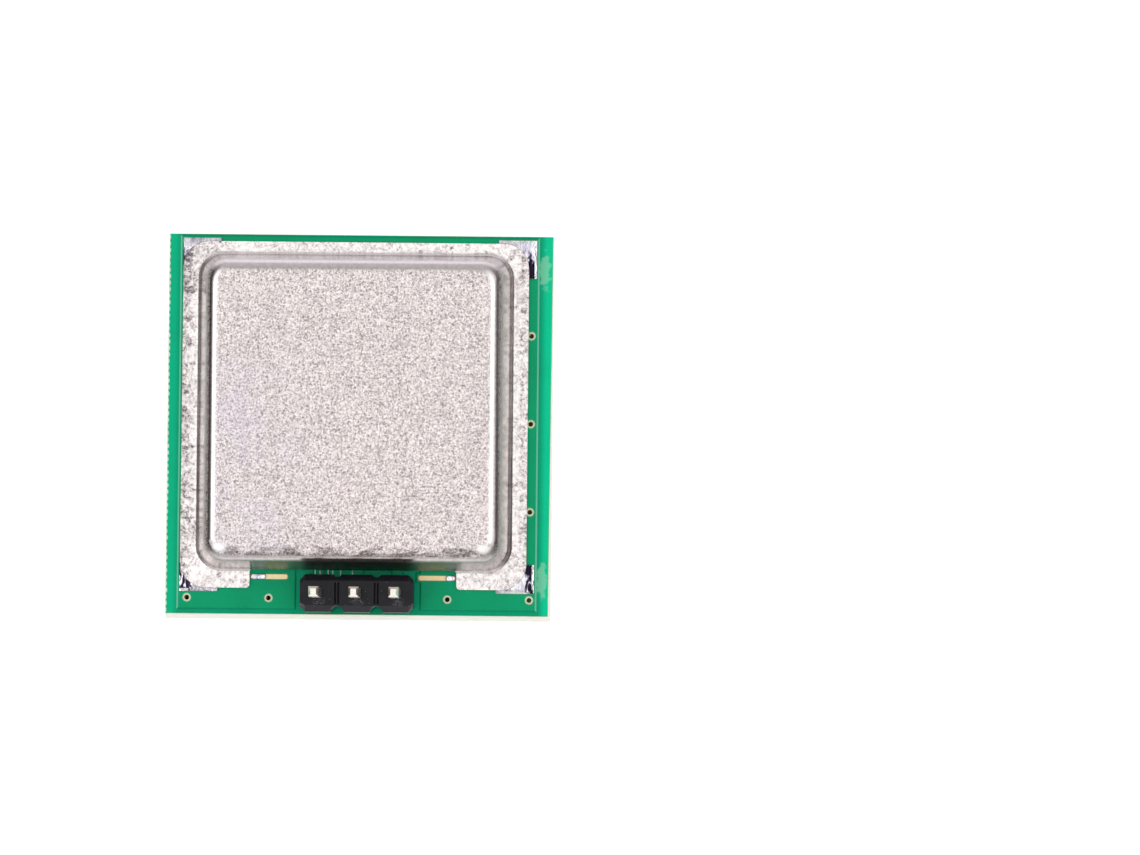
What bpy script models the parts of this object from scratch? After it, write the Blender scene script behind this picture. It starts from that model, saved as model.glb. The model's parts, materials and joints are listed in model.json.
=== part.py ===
"""A 24 GHz radar motion sensor: a square board with patch antennas on one side and a shield can on the other.

Metres, +Z up. The module lies component side up, as the shield can and the header pins point up. +X is to
the right and -Y towards the header. The origin is under the middle of the board, level with the ends of
the pin tails, which are the lowest points.
"""

import random
from math import atan2, ceil, cos, pi, radians, sin, tan

import bmesh
import bpy
from mathutils import Vector
from mathutils.geometry import delaunay_2d_cdt

# Board: a square laminate, scored on its front and right edges before it was snapped out of its panel
BOARD_SIDE = 0.025
BOARD_THICKNESS = 0.0016
SCORE_DEPTH = 0.00042
SCORE_FRONT = 0.0003
SCORE_RIGHT_AT_FRONT = 0.00016
SCORE_RIGHT_AT_BACK = 0.00002

# Layers on the board: copper and solder mask, thicker than real ones, and the clearance between bonded pieces
COPPER = 0.00005
MASK = 0.00008
SEAT = 0.00001
MASK_MARGIN = 0.00003
MASK_SLOPE = 0.00014
MASK_SLOPE_ROOT = 0.00002

# Jagged left edge of the component side's mask
CHIP_PITCH = 0.00043
CHIP_DEPTH = 0.00009
CHIP_SPREAD = 0.3

# Ground copper on both sides
POUR_SIDE_MARGIN = 0.00085
POUR_RIGHT_MARGIN = 0.00102
POUR_FRONT_MARGIN = 0.0007
POUR_BACK_MARGIN = 0.0002
KEEP_OUT_PAST_HEADER = 0.00045
KEEP_OUT_DEPTH = 0.0028

# Vias: the drilled hole, its plated barrel and the ring that the mask leaves bare
VIA_HOLE_RADIUS = 0.00017
VIA_BARREL_RADIUS = 0.00025
VIA_RING_RADIUS = 0.00029
VIA_LAND_RADIUS = 0.00035
VIA_SIDE_INSET = 0.0014
VIA_BACK_INSET = 0.00076
VIA_FRONT_INSET = 0.00136
VIAS_IN_A_COLUMN = 5
VIA_FRONT_X = BOARD_SIDE * 0.232
CENTRE_VIA = (0.0, BOARD_SIDE * 0.0828)
DIMPLE_RADIUS = 0.00019
DIMPLE_DEPTH = 0.00004

# Patch antennas: a column of patches, each fed through a slot in its back edge
PATCHES = 4
PATCH_X = BOARD_SIDE * 0.3048
PATCH_WIDTH = 0.00368
PATCH_LENGTH = 0.00314
PATCH_CORNER = 0.00014
INSET_DEPTH = 0.00115
INSET_SLIT = 0.00009
LINE_WIDTH = 0.00025
LINE_BEND = 0.00028
WIDE_LINE_BEND = 0.85
FEED_OFFSET = 0.000475
TRUNK_X = BOARD_SIDE * 0.162
TURN_X = BOARD_SIDE * 0.1268
TURN_SPAN = 0.0006
WIDE_PAST_SPLIT = 0.00007
WIDE_LENGTH = 0.00196
WIDE_WIDTH = 0.0007
WIDE_CHAMFER = 0.00022
SPLIT_LENGTH = 0.0011
SPLIT_OUTER = 0.00045
SPLIT_INNER = 0.00044
SPLIT_CORNER = 0.00015
FEED_PAD_RADIUS = 0.0006
FEED_PAD_TAPER = 0.00092
FEED_HOLE_RADIUS = 0.0002
FEED_BARREL_RADIUS = 0.0003

# Windows in the mask round the antennas, and how much further the copper stands back
WINDOW_OUTER_X = BOARD_SIDE * 0.4152
WINDOW_INNER_X = BOARD_SIDE * 0.1088
WINDOW_BACK_INSET = 0.0011
WINDOW_FRONT_INSET = 0.00263
WINDOW_BACK_CLEARANCE = 0.00011
WINDOW_FRONT_CLEARANCE = 0.00077
FENCE_PAST_KEEP_OUT = 0.001
FENCE_BEHIND_KEEP_OUT = 0.00107
FENCE_CORNER = 0.00115
STAND_BACK_OUTER = 0.00014
STAND_BACK_INNER = 0.00079
STAND_BACK_END = 0.0005
STAND_BACK_FENCE = 0.00057

# Oval copper island between the antennas, with its vias
ISLAND_MIDDLE = (BOARD_SIDE * -0.0026, BOARD_SIDE * 0.2628)
ISLAND_REACH = 0.00051
ISLAND_RADIUS = 0.0006
ISLAND_GROOVE = 0.0003
ISLAND_VIA_STEP = 0.0005
ISLAND_VIA_STEPS = ((-1.0, 1.2), (-0.72, -0.04), (0.32, 0.66), (0.26, -1.06), (1.14, -0.2), (1.2, -1.44))
BARE_ISLAND_VIA = 4

# Shield can: a drawn tray with a flange, which is left out along the middle of the front
CAN_SHEET = 0.0002
CAN_HEIGHT = 0.00294
CAN_DRAFT = radians(13)
CAN_BASE_FILLET = 0.0003
CAN_TOP_ROUNDING = 0.00078
CAN_CORNER = 0.0015
CAN_CORNER_TAPER = 0.4
CAN_LEFT_LEAN = 1.08
CAN_RIGHT_LEAN = 1.24
CAN_FLAT_DEPTH = 0.0022
FLANGE_CORNER = 0.00165
FLANGE_LEFT_INSET = 0.00096
FLANGE_RIGHT_INSET = 0.0016
FLANGE_BACK_INSET = 0.0005
FLANGE_FRONT_INSET = 0.002
FLANGE_LEFT = 0.0011
FLANGE_RIGHT = 0.00104
FLANGE_BACK = 0.00081
FLANGE_FRONT = 0.00122
FLANGE_GAP_LEFT_X = BOARD_SIDE * -0.2812
FLANGE_GAP_RIGHT_X = BOARD_SIDE * 0.2552
FLANGE_GAP_CORNER = 0.0002
FLANGE_END_CORNER = 0.00025

# Solder at the can's corners, each in a bare pad that reaches out past the flange
CORNER_PAD_LENGTH = 0.0025
CORNER_PAD_DEPTH = 0.0019
CORNER_PAD_EDGE = 0.00006
CORNER_SOLDER_CLEARANCE = 0.00002
BEAD_RADIUS = 0.00017
BEAD_SQUASH = 0.6

# Bare gold strips beside the flange's front ends, with solder on the end next to the flange
STRIP_LENGTH = 0.0025
STRIP_WIDTH = 0.0004
STRIP_FRONT_INSET = 0.00274
STRIP_LAND_MARGIN = 0.00006
STRIP_SOLDER_LENGTHS = (0.0009, 0.00055)
STRIP_SOLDER_HEIGHT = 0.00021
STRIP_SOLDER_SLOPE = 0.00007

# Header: three moulded blocks in a row, with square pins
PINS = 3
PIN_PITCH = 0.00254
PIN_SIDE = 0.00064
PIN_CLEARANCE = 0.00002
PIN_TAIL = 0.0014
PIN_ABOVE_HOUSING = 0.006
PIN_TOP_TAPER = 0.00035
PIN_TOP_SIDE = 0.00036
PIN_TAIL_TAPER = 0.0002
PIN_TAIL_SIDE = 0.00044
HEADER_FRONT_INSET = 0.00167
HOUSING_END = 0.00111
HOUSING_DEPTH = 0.00242
HOUSING_HEIGHT = 0.00254
HOUSING_TOP_DEPTH = 0.0016
HOUSING_SLOPE_HEIGHT = 0.0005
HOUSING_CORNER = 0.00032
FRONT_NOTCH_RADIUS = 0.0004
BACK_NOTCH_RADIUS = 0.0003
BACK_NOTCH_DEPTH = 0.0002
HOUSING_SLOT_SPACING = 0.0002
HOUSING_SLOT_WIDTH = 0.00012
HOUSING_SLOT_LENGTH = 0.00138
HOUSING_SLOT_DEPTH = 0.0006

# Solder joints of the pins
HEADER_HOLE_RADIUS = 0.0005
JOINT_SIDE = 0.00168
JOINT_HOLLOW = 0.00006
JOINT_END_WALL = 0.00006
JOINT_HEIGHT = 0.00125
JOINT_POWER = 2.3
JOINT_PAD_EDGE = 0.00012
HEADER_PAD_RADIUS = 0.0008

# Circuit under the can
CIRCUIT_LEFT_INSET = 0.0039
CIRCUIT_RIGHT_INSET = 0.0044
CIRCUIT_FRONT_INSET = 0.0051
CIRCUIT_BACK_INSET = 0.0033
BARE_BEYOND_CIRCUIT = 0.0006
BARE_FROM_WALL = 0.0004
RING_CENTRE = (0.0, BOARD_SIDE * 0.26)
RING_RADIUS = 0.0018
RING_WIDTH = 0.00035
MICROSTRIP_WIDTH = 0.0005
TRACK_WIDTH = 0.0006
COUPLING_GAP = 0.00012
CHOKE_RADIUS = 0.002
CHOKE_HALF_ANGLE = radians(32)
CHOKE_Y = BOARD_SIDE * -0.06
TRANSISTOR_X = BOARD_SIDE * -0.24
TRANSISTOR_FRONT_INSET = 0.00645
SIGNAL_X = BOARD_SIDE * 0.088
RESISTOR_Y = BOARD_SIDE * -0.14
CAPACITOR_FRONT_INSET = 0.0045
LOAD_FROM_CAPACITOR = 0.0034
RESISTOR_FROM_TRACK = 0.00017
LOAD_FROM_TRACK = 0.00055

# Parts under the can
PACKAGE_LENGTH = 0.002
PACKAGE_WIDTH = 0.00125
PACKAGE_HEIGHT = 0.0009
PACKAGE_DRAFT = 0.00006
LEAD_SPAN = 0.0021
LEAD_THICKNESS = 0.00013
LEAD_WIDTH = 0.0003
LEAD_SPACING = 0.0013
LEAD_FOOT = 0.00026
RESISTOR = (0.0016, 0.0008, 0.00045)
CAPACITOR_1 = (0.0016, 0.0008, 0.0008)
CAPACITOR_2 = (0.002, 0.00125, 0.0008)
CHIP_END = 0.0003
CHIP_RECESS = 0.00003

MM = 0.001
FILL_TOLERANCE_MM = 1e-5
CUTTER_MARGIN = 0.0003

COMPONENT_SIDE = 1
ANTENNA_SIDE = -1

EDGE = BOARD_SIDE / 2
COMPONENT_FACE = PIN_TAIL + BOARD_THICKNESS
ANTENNA_FACE = PIN_TAIL
COPPER_TOP = SEAT + COPPER
MASK_TOP = SEAT + MASK
RAISED_MASK_BOTTOM = COPPER_TOP + SEAT
RAISED_MASK_TOP = RAISED_MASK_BOTTOM + MASK
HEADER_Y = -EDGE + HEADER_FRONT_INSET
PIN_XS = [(index - (PINS - 1) / 2) * PIN_PITCH for index in range(PINS)]
KEEP_OUT_X = PIN_XS[-1] + HOUSING_END + KEEP_OUT_PAST_HEADER
FENCE_X = KEEP_OUT_X + FENCE_PAST_KEEP_OUT
FENCE_Y = -EDGE + KEEP_OUT_DEPTH + FENCE_BEHIND_KEEP_OUT
STRIP_Y = -EDGE + STRIP_FRONT_INSET
ISLAND_VIAS = [
    (ISLAND_MIDDLE[0] + ISLAND_VIA_STEP * x, ISLAND_MIDDLE[1] + ISLAND_VIA_STEP * y)
    for x, y in ISLAND_VIA_STEPS
]
CIRCUIT_PART_Z = COMPONENT_FACE + COPPER_TOP + SEAT
BACK_LINE_Y = EDGE - WINDOW_BACK_INSET - WINDOW_BACK_CLEARANCE - LINE_WIDTH / 2
FIRST_PATCH_Y = BACK_LINE_Y - FEED_OFFSET - PATCH_LENGTH / 2
LAST_PATCH_Y = -EDGE + WINDOW_FRONT_INSET + WINDOW_FRONT_CLEARANCE + PATCH_LENGTH / 2
PATCH_PITCH = (FIRST_PATCH_Y - LAST_PATCH_Y) / (PATCHES - 1)
FEED_Y = (FIRST_PATCH_Y + LAST_PATCH_Y + PATCH_LENGTH) / 2 + FEED_OFFSET

FLANGE_BOX = (
    -EDGE + FLANGE_LEFT_INSET,
    EDGE - FLANGE_RIGHT_INSET,
    -EDGE + FLANGE_FRONT_INSET,
    EDGE - FLANGE_BACK_INSET,
)
WALL_BOX = (
    FLANGE_BOX[0] + FLANGE_LEFT,
    FLANGE_BOX[1] - FLANGE_RIGHT,
    FLANGE_BOX[2] + FLANGE_FRONT,
    FLANGE_BOX[3] - FLANGE_BACK,
)
FLANGE_BOTTOM = COMPONENT_FACE + RAISED_MASK_TOP + SEAT
FLANGE_TOP = FLANGE_BOTTOM + CAN_SHEET
HOUSING_BOTTOM = COMPONENT_FACE + RAISED_MASK_TOP + SEAT
HOUSING_TOP = HOUSING_BOTTOM + HOUSING_HEIGHT

CIRCUIT_LEFT = -EDGE + CIRCUIT_LEFT_INSET
CIRCUIT_RIGHT = EDGE - CIRCUIT_RIGHT_INSET
CIRCUIT_FRONT = -EDGE + CIRCUIT_FRONT_INSET
CIRCUIT_BACK = EDGE - CIRCUIT_BACK_INSET
TRANSISTOR_BACK_FOOT = -EDGE + TRANSISTOR_FRONT_INSET
CAPACITOR_Y = -EDGE + CAPACITOR_FRONT_INSET
LOAD_Y = CAPACITOR_Y + LOAD_FROM_CAPACITOR
RESISTOR_X = PIN_XS[0] - TRACK_WIDTH / 2 - RESISTOR_FROM_TRACK - RESISTOR[0] / 2
LOAD_X = SIGNAL_X + TRACK_WIDTH / 2 + LOAD_FROM_TRACK + RESISTOR[0] / 2
LOAD_END_X = LOAD_X + RESISTOR[0] / 2 - CHIP_END
FIRST_DIODE_Y = CENTRE_VIA[1] + LEAD_SPAN / 2
SECOND_DIODE_X = CIRCUIT_RIGHT - LEAD_SPAN / 2 + 2 * LEAD_FOOT


# Flat outlines: each is a list of (x, y) points


def rectangle(left, right, front, back):
    return [(left, front), (right, front), (right, back), (left, back)]


def circle(centre, radius, steps=12):
    angles = [2 * pi * step / steps for step in range(steps)]
    return [(centre[0] + radius * cos(a), centre[1] + radius * sin(a)) for a in angles]


def arc_at(before, corner, after, radius, steps):
    """The points of the arc that rounds a corner."""
    corner = Vector(corner)
    back = (Vector(before) - corner).normalized()
    ahead = (Vector(after) - corner).normalized()
    half = back.angle(ahead) / 2
    centre = corner + (back + ahead).normalized() * radius / sin(half)
    first = corner + back * radius / tan(half) - centre
    last = corner + ahead * radius / tan(half) - centre
    start = atan2(first.y, first.x)
    sweep = (atan2(last.y, last.x) - start + pi) % (2 * pi) - pi
    angles = [start + sweep * step / steps for step in range(steps + 1)]
    return [(centre.x + radius * cos(a), centre.y + radius * sin(a)) for a in angles]


def rounded(outline, radius, steps=3):
    """The closed outline with every corner rounded."""
    after = outline[1:] + outline[:1]
    before = outline[-1:] + outline[:-1]
    corners = zip(before, outline, after)
    return [point for corner in corners for point in arc_at(*corner, radius, steps)]


def bent(path, radii, steps=4):
    """The open path with its inner corners rounded, each by its own radius."""
    points = [tuple(path[0])]
    for before, corner, after, radius in zip(path, path[1:], path[2:], radii):
        points += arc_at(before, corner, after, radius, steps)
    return [*points, tuple(path[-1])]


def track(path, width, bend=None):
    """The outline of a copper line of one width along the path."""
    bend = bend or max(LINE_BEND, width * WIDE_LINE_BEND)
    centre = [Vector(point) for point in bent(path, [bend] * len(path))]
    along = [(b - a).normalized() for a, b in zip(centre, centre[1:])]
    left, right = [], []
    for point, before, after in zip(centre, [along[0], *along], [*along, along[-1]]):
        across = Vector((-before.y - after.y, before.x + after.x)).normalized()
        reach = width / 2 / across.dot(Vector((-after.y, after.x)))
        left.append(tuple(point + across * reach))
        right.append(tuple(point - across * reach))
    return left + right[::-1]


def stadium(start, end, radius, steps=8):
    """The outline round two equal circles."""
    turn = atan2(end[1] - start[1], end[0] - start[0])
    points = []
    for centre, first in ((end, turn - pi / 2), (start, turn + pi / 2)):
        for step in range(steps + 1):
            angle = first + pi * step / steps
            points.append((centre[0] + radius * cos(angle), centre[1] + radius * sin(angle)))
    return points


def mirrored(outline, x_side=1, middle_y=None):
    """The outline turned to the other side of X = 0, of a line across Y, or of both."""
    y_of = (lambda y: y) if middle_y is None else (lambda y: 2 * middle_y - y)
    return [(x * x_side, y_of(y)) for x, y in outline]


def anticlockwise(outline):
    following = outline[1:] + outline[:1]
    twice_area = sum(a[0] * b[1] - b[0] * a[1] for a, b in zip(outline, following))
    return outline if twice_area > 0 else outline[::-1]


# Solids


def area_of(shapes, holes=()):
    """The area inside any of the shapes and outside every hole: its points and its triangles."""
    points, faces = [], []
    for outline in [*shapes, *holes]:
        faces.append(list(range(len(points), len(points) + len(outline))))
        points += [Vector(point) / MM for point in anticlockwise(outline)]
    found, _, triangles, _, _, sources = delaunay_2d_cdt(points, [], faces, 1, FILL_TOLERANCE_MM)
    kept = [
        triangle
        for triangle, inside in zip(triangles, sources)
        if inside and max(inside) < len(shapes)
    ]
    return [point * MM for point in found], kept


def outline_steps(points, triangles):
    """For each point on the area's edge, the next point along it and the direction out of the area."""
    sides = {(t[i], t[i - 2]) for t in triangles for i in range(3)}
    following = {a: b for a, b in sides if (b, a) not in sides}
    before = {b: a for a, b in following.items()}
    outward = {}
    for point, after in following.items():
        ahead = (points[after] - points[point]).normalized()
        behind = (points[point] - points[before[point]]).normalized()
        across = Vector((ahead.y + behind.y, -ahead.x - behind.x)).normalized()
        outward[point] = across / across.dot(Vector((ahead.y, -ahead.x)))
    return following, outward


def new_object(name, shape, material=None):
    """An object of the bmesh, which is a cutter where it has no material."""
    bmesh.ops.recalc_face_normals(shape, faces=shape.faces)
    mesh = bpy.data.meshes.new(name)
    shape.to_mesh(mesh)
    shape.free()
    item = bpy.data.objects.new(name, mesh)
    bpy.context.scene.collection.objects.link(item)
    if material:
        mesh.materials.append(material)
    else:
        item.hide_render = True
        item.display_type = "WIRE"
    return item


def add_slab(shape, area, levels):
    """Adds a closed solid of the area, whose levels are (height, growth) pairs: the outline moves out by the
    growth there. A height may be a function of the point."""
    points, triangles = area
    following, outward = outline_steps(points, triangles)
    rows = []
    for height, growth in levels:
        row = []
        for index, point in enumerate(points):
            x, y = point + outward.get(index, Vector((0, 0))) * growth
            z = height(x, y) if callable(height) else height
            row.append(shape.verts.new((x, y, z)))
        rows.append(row)
    for row in (rows[0], rows[-1]):
        for triangle in triangles:
            shape.faces.new([row[index] for index in triangle])
    for lower, upper in zip(rows, rows[1:]):
        for a, b in following.items():
            shape.faces.new((lower[a], lower[b], upper[b], upper[a]))
    bmesh.ops.delete(shape, geom=[v for v in shape.verts if not v.link_faces], context="VERTS")


def slab(name, area, levels, material=None):
    shape = bmesh.new()
    add_slab(shape, area, levels)
    return new_object(name, shape, material)


def cutter_slabs(name, outlines, bottom, top):
    """One cutter of upright solids."""
    return slab(name, area_of(outlines), [(bottom, 0), (top, 0)])


def add_loft(shape, rings, capped=(True, True)):
    """Adds the walls between rings of equal length, and a flat face over each capped end."""
    rows = [[shape.verts.new(point) for point in ring] for ring in rings]
    for lower, upper in zip(rows, rows[1:]):
        for index, vertex in enumerate(lower):
            after = (index + 1) % len(lower)
            shape.faces.new((vertex, lower[after], upper[after], upper[index]))
    for row, wanted in ((rows[0], capped[0]), (rows[-1], capped[1])):
        if wanted:
            shape.faces.new(row)


def combine(item, other, operation):
    step = item.modifiers.new(other.name, "BOOLEAN")
    step.operation = operation
    step.solver = "EXACT"
    step.object = other


def smooth(item, angle=radians(35)):
    item.data.shade_smooth()
    item.data.set_sharp_from_angle(angle=angle)


def finish(name, colour, roughness, metallic=0.0):
    material = bpy.data.materials.new(name)
    material.use_nodes = True
    shader = material.node_tree.nodes["Principled BSDF"]
    shader.inputs["Base Color"].default_value = (*colour, 1)
    shader.inputs["Roughness"].default_value = roughness
    shader.inputs["Metallic"].default_value = metallic
    return material


def above(side, height):
    """The world height of a layer that lies this far off one side of the board."""
    return COMPONENT_FACE + height if side == COMPONENT_SIDE else ANTENNA_FACE - height


# Places that several pieces share


def via_places():
    """The vias that join the ground copper of both sides, as the two side columns and the others."""
    pitch = (BOARD_SIDE - VIA_BACK_INSET - VIA_FRONT_INSET) / (VIAS_IN_A_COLUMN - 1)
    column = [EDGE - VIA_BACK_INSET - index * pitch for index in range(VIAS_IN_A_COLUMN)]
    left = [(-EDGE + VIA_SIDE_INSET, y) for y in column]
    right = [(EDGE - VIA_SIDE_INSET, y) for y in column]
    front = [(-VIA_FRONT_X, column[-1]), (VIA_FRONT_X, column[-1])]
    back = [(0.0, column[0])]
    return left, right, front, back


def ground_vias():
    return [place for group in via_places() for place in group] + [CENTRE_VIA]


def feed_places():
    return [(-TRUNK_X, FEED_Y), (TRUNK_X, FEED_Y)]


def bevelled_face():
    """The four corners of the board's face inside its scored edges."""
    return [
        (-EDGE, -EDGE + SCORE_FRONT),
        (EDGE - SCORE_RIGHT_AT_FRONT, -EDGE + SCORE_FRONT),
        (EDGE - SCORE_RIGHT_AT_BACK, EDGE),
        (-EDGE, EDGE),
    ]


def mask_outline():
    corners = bevelled_face()
    return [
        (corners[0][0] + MASK_MARGIN, corners[0][1] + MASK_MARGIN),
        (corners[1][0] - MASK_MARGIN, corners[1][1] + MASK_MARGIN),
        (corners[2][0] - MASK_MARGIN, corners[2][1] - MASK_MARGIN),
        (corners[3][0] + MASK_MARGIN, corners[3][1] - MASK_MARGIN),
    ]


def jagged_mask_outline():
    """The mask's outline with small bites along its left edge, a little wider towards the front."""
    spread = random.Random(4)
    outline = mask_outline()
    front, back = outline[0][1], outline[3][1]
    count = ceil((back - front) / CHIP_PITCH)
    ends = [back - (back - front) * index / count for index in range(count + 1)]
    steps = 5
    edge = []
    for start, end in zip(ends, ends[1:]):
        depth = CHIP_DEPTH * (1 + CHIP_SPREAD * spread.uniform(-1, 1))
        for step in range(steps):
            y = start + (end - start) * step / steps
            bite = depth * sin(pi * step / steps) ** 0.7
            edge.append((outline[0][0] + bite, y))
    return [outline[0], outline[1], outline[2], *edge]


def flange_outline(growth=0.0, steps=6):
    left, right, front, back = FLANGE_BOX
    outline = rectangle(left - growth, right + growth, front - growth, back + growth)
    return rounded(outline, FLANGE_CORNER + growth, steps)


def window_outline(x_side, outer=0.0, inner=0.0, end=0.0, fence=0.0):
    """The window round one antenna. The margins move its edges out, as the copper behind stands back."""
    left, right = WINDOW_INNER_X - inner, WINDOW_OUTER_X + outer
    front, back = -EDGE + WINDOW_FRONT_INSET - end, EDGE - WINDOW_BACK_INSET + end
    fence_x, fence_y = FENCE_X - fence, FENCE_Y - fence
    below = (fence_x, front - CUTTER_MARGIN)
    corner = arc_at((left, fence_y), (fence_x, fence_y), below, FENCE_CORNER - fence, 6)
    outline = [(left, back), (left, fence_y), *corner, (fence_x, front), (right, front), (right, back)]
    return mirrored(outline, x_side)


def ground_on_antenna_side():
    """The pour, less the openings of the antennas, the header's keep-out and the island's groove."""
    side, front, back = EDGE - POUR_SIDE_MARGIN, -EDGE + POUR_FRONT_MARGIN, EDGE - POUR_BACK_MARGIN
    keep_out = rectangle(-KEEP_OUT_X, KEEP_OUT_X, -EDGE, -EDGE + KEEP_OUT_DEPTH)
    margins = (STAND_BACK_OUTER, STAND_BACK_INNER, STAND_BACK_END, STAND_BACK_FENCE)
    openings = [window_outline(x_side, *margins) for x_side in (-1, 1)]
    groove = island_outline(ISLAND_GROOVE)
    return area_of([rectangle(-side, side, front, back)], [keep_out, groove, *openings])


def island_outline(growth=0.0):
    """The oval that slopes across the board, from the back left to the front right."""
    x, y = ISLAND_MIDDLE
    start, end = (x - ISLAND_REACH, y + ISLAND_REACH), (x + ISLAND_REACH, y - ISLAND_REACH)
    return stadium(start, end, ISLAND_RADIUS + growth)


def ground_shapes_on_component_side():
    """A pour round the circuit, open at the header, with tongues to the third pin and the output's load."""
    left, right = -EDGE + POUR_SIDE_MARGIN, EDGE - POUR_RIGHT_MARGIN
    front, back = -EDGE + POUR_FRONT_MARGIN, EDGE - POUR_BACK_MARGIN
    half = KEEP_OUT_X
    pin = (PIN_XS[-1], HEADER_Y)
    return [
        rectangle(left, CIRCUIT_LEFT, front, back),
        rectangle(CIRCUIT_RIGHT, right, front, back),
        rectangle(left, right, CIRCUIT_BACK, back),
        rectangle(left, -half, front, CIRCUIT_FRONT),
        rectangle(half, right, front, CIRCUIT_FRONT),
        *[rectangle(*strip) for strip in strip_boxes(STRIP_LAND_MARGIN)],
        circle(pin, HEADER_PAD_RADIUS),
        track([pin, (pin[0], CAPACITOR_Y), (half + TRACK_WIDTH, CAPACITOR_Y)], TRACK_WIDTH),
        capacitor_land(pin[0], -1),
        track([(LOAD_END_X, LOAD_Y), (CIRCUIT_RIGHT + TRACK_WIDTH, LOAD_Y)], TRACK_WIDTH),
        centre_land(),
    ]


def strip_boxes(growth=0.0):
    """The boxes of the strips, from the flange's cut ends towards the header."""
    low, high = STRIP_Y - STRIP_WIDTH / 2 - growth, STRIP_Y + STRIP_WIDTH / 2 + growth
    length = STRIP_LENGTH + growth
    left, right = FLANGE_GAP_LEFT_X, FLANGE_GAP_RIGHT_X
    return [(left, left + length, low, high), (right - length, right, low, high)]


def header_hole(x):
    """The outline of the plated hole of the pin at X, which the copper round it clears."""
    return circle((x, HEADER_Y), HEADER_HOLE_RADIUS + SEAT, 24)


def centre_land():
    """The land of the centre via, wide enough for a diode's two feet."""
    x, y = CENTRE_VIA
    half = (LEAD_SPACING + LEAD_WIDTH) / 2 + SEAT
    return rectangle(x - half, x + half, y - VIA_LAND_RADIUS, y + VIA_LAND_RADIUS)


def supply_shapes():
    """From the first pin past its capacitor to the bias resistor."""
    x = PIN_XS[0]
    left = x - TRACK_WIDTH / 2
    return [
        circle((x, HEADER_Y), HEADER_PAD_RADIUS),
        track([(x, HEADER_Y), (x, RESISTOR_Y + TRACK_WIDTH / 2)], TRACK_WIDTH),
        track([(RESISTOR_X + RESISTOR[0] / 2 - CHIP_END, RESISTOR_Y), (x, RESISTOR_Y)], TRACK_WIDTH),
        track([(left - CHIP_END, CAPACITOR_Y), (x, CAPACITOR_Y)], TRACK_WIDTH),
    ]


def signal_shapes():
    """From the second pin to the mixer's output."""
    x = PIN_XS[1]
    jog = CAPACITOR_Y + TRACK_WIDTH + CAPACITOR_2[1] / 2
    path = [(x, HEADER_Y), (x, jog), (SIGNAL_X, jog + (SIGNAL_X - x)), (SIGNAL_X, FEED_Y)]
    return [circle((x, HEADER_Y), HEADER_PAD_RADIUS), track(path, TRACK_WIDTH), capacitor_land(x, 1)]


def capacitor_land(x, way):
    """The land of the second capacitor on the track that runs up from a pin."""
    reach = x + way * ((PIN_PITCH - CAPACITOR_2[0]) / 2 + CHIP_END)
    half = CAPACITOR_2[1] / 2
    return rectangle(min(x, reach), max(x, reach), CAPACITOR_Y - half, CAPACITOR_Y + half)


# Pieces


def make_board(material):
    board = slab(
        "board",
        area_of([rectangle(-EDGE, EDGE, -EDGE, EDGE)], board_holes()),
        [(ANTENNA_FACE, 0), (COMPONENT_FACE, 0)],
        material,
    )
    for side in (COMPONENT_SIDE, ANTENNA_SIDE):
        combine(board, score_cutter("score_front", side, front_score_line), "DIFFERENCE")
        combine(board, score_cutter("score_right", side, right_score_line), "DIFFERENCE")


def board_holes():
    holes = [circle(place, VIA_BARREL_RADIUS + SEAT) for place in [*ground_vias(), *ISLAND_VIAS]]
    holes += [circle(place, FEED_BARREL_RADIUS + SEAT, 16) for place in feed_places()]
    return holes + [circle((x, HEADER_Y), HEADER_HOLE_RADIUS, 24) for x in PIN_XS]


def front_score_line():
    """Pairs of a point on the face where the cut ends, and the edge point beside it."""
    reach = EDGE + CUTTER_MARGIN
    return [((x, -EDGE + SCORE_FRONT), (x, -EDGE), (0, -1)) for x in (-reach, reach)]


def right_score_line():
    reach = EDGE + CUTTER_MARGIN
    widths = ((-reach, SCORE_RIGHT_AT_FRONT), (reach, SCORE_RIGHT_AT_BACK))
    return [((EDGE - width, y), (EDGE, y), (1, 0)) for y, width in widths]


def score_cutter(name, side, line):
    """The wedge that a scoring blade takes off one edge."""
    shape = bmesh.new()
    for face_point, edge_point, outward in line():
        beyond = [value + CUTTER_MARGIN * way for value, way in zip(edge_point, outward)]
        shape.verts.new((*face_point, above(side, 0)))
        shape.verts.new((*edge_point, above(side, -SCORE_DEPTH)))
        shape.verts.new((*beyond, above(side, -SCORE_DEPTH)))
        shape.verts.new((*beyond, above(side, CUTTER_MARGIN)))
        shape.verts.new((*face_point, above(side, CUTTER_MARGIN)))
    bmesh.ops.convex_hull(shape, input=shape.verts)
    return new_object(name, shape)


def make_ground_copper(material):
    """The pours of both sides, joined by the plated vias."""
    ground = copper_layer("ground_copper", ANTENNA_SIDE, ground_on_antenna_side(), material)
    pour = area_of(ground_shapes_on_component_side(), [header_hole(PIN_XS[-1])])
    combine(ground, copper_layer("component_side_pour", COMPONENT_SIDE, pour), "UNION")
    add_plated_holes(ground, ground_vias(), VIA_BARREL_RADIUS, VIA_HOLE_RADIUS)


def copper_layer(name, side, area, material=None):
    return slab(name, area, [(above(side, SEAT), 0), (above(side, COPPER_TOP), 0)], material)


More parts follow.
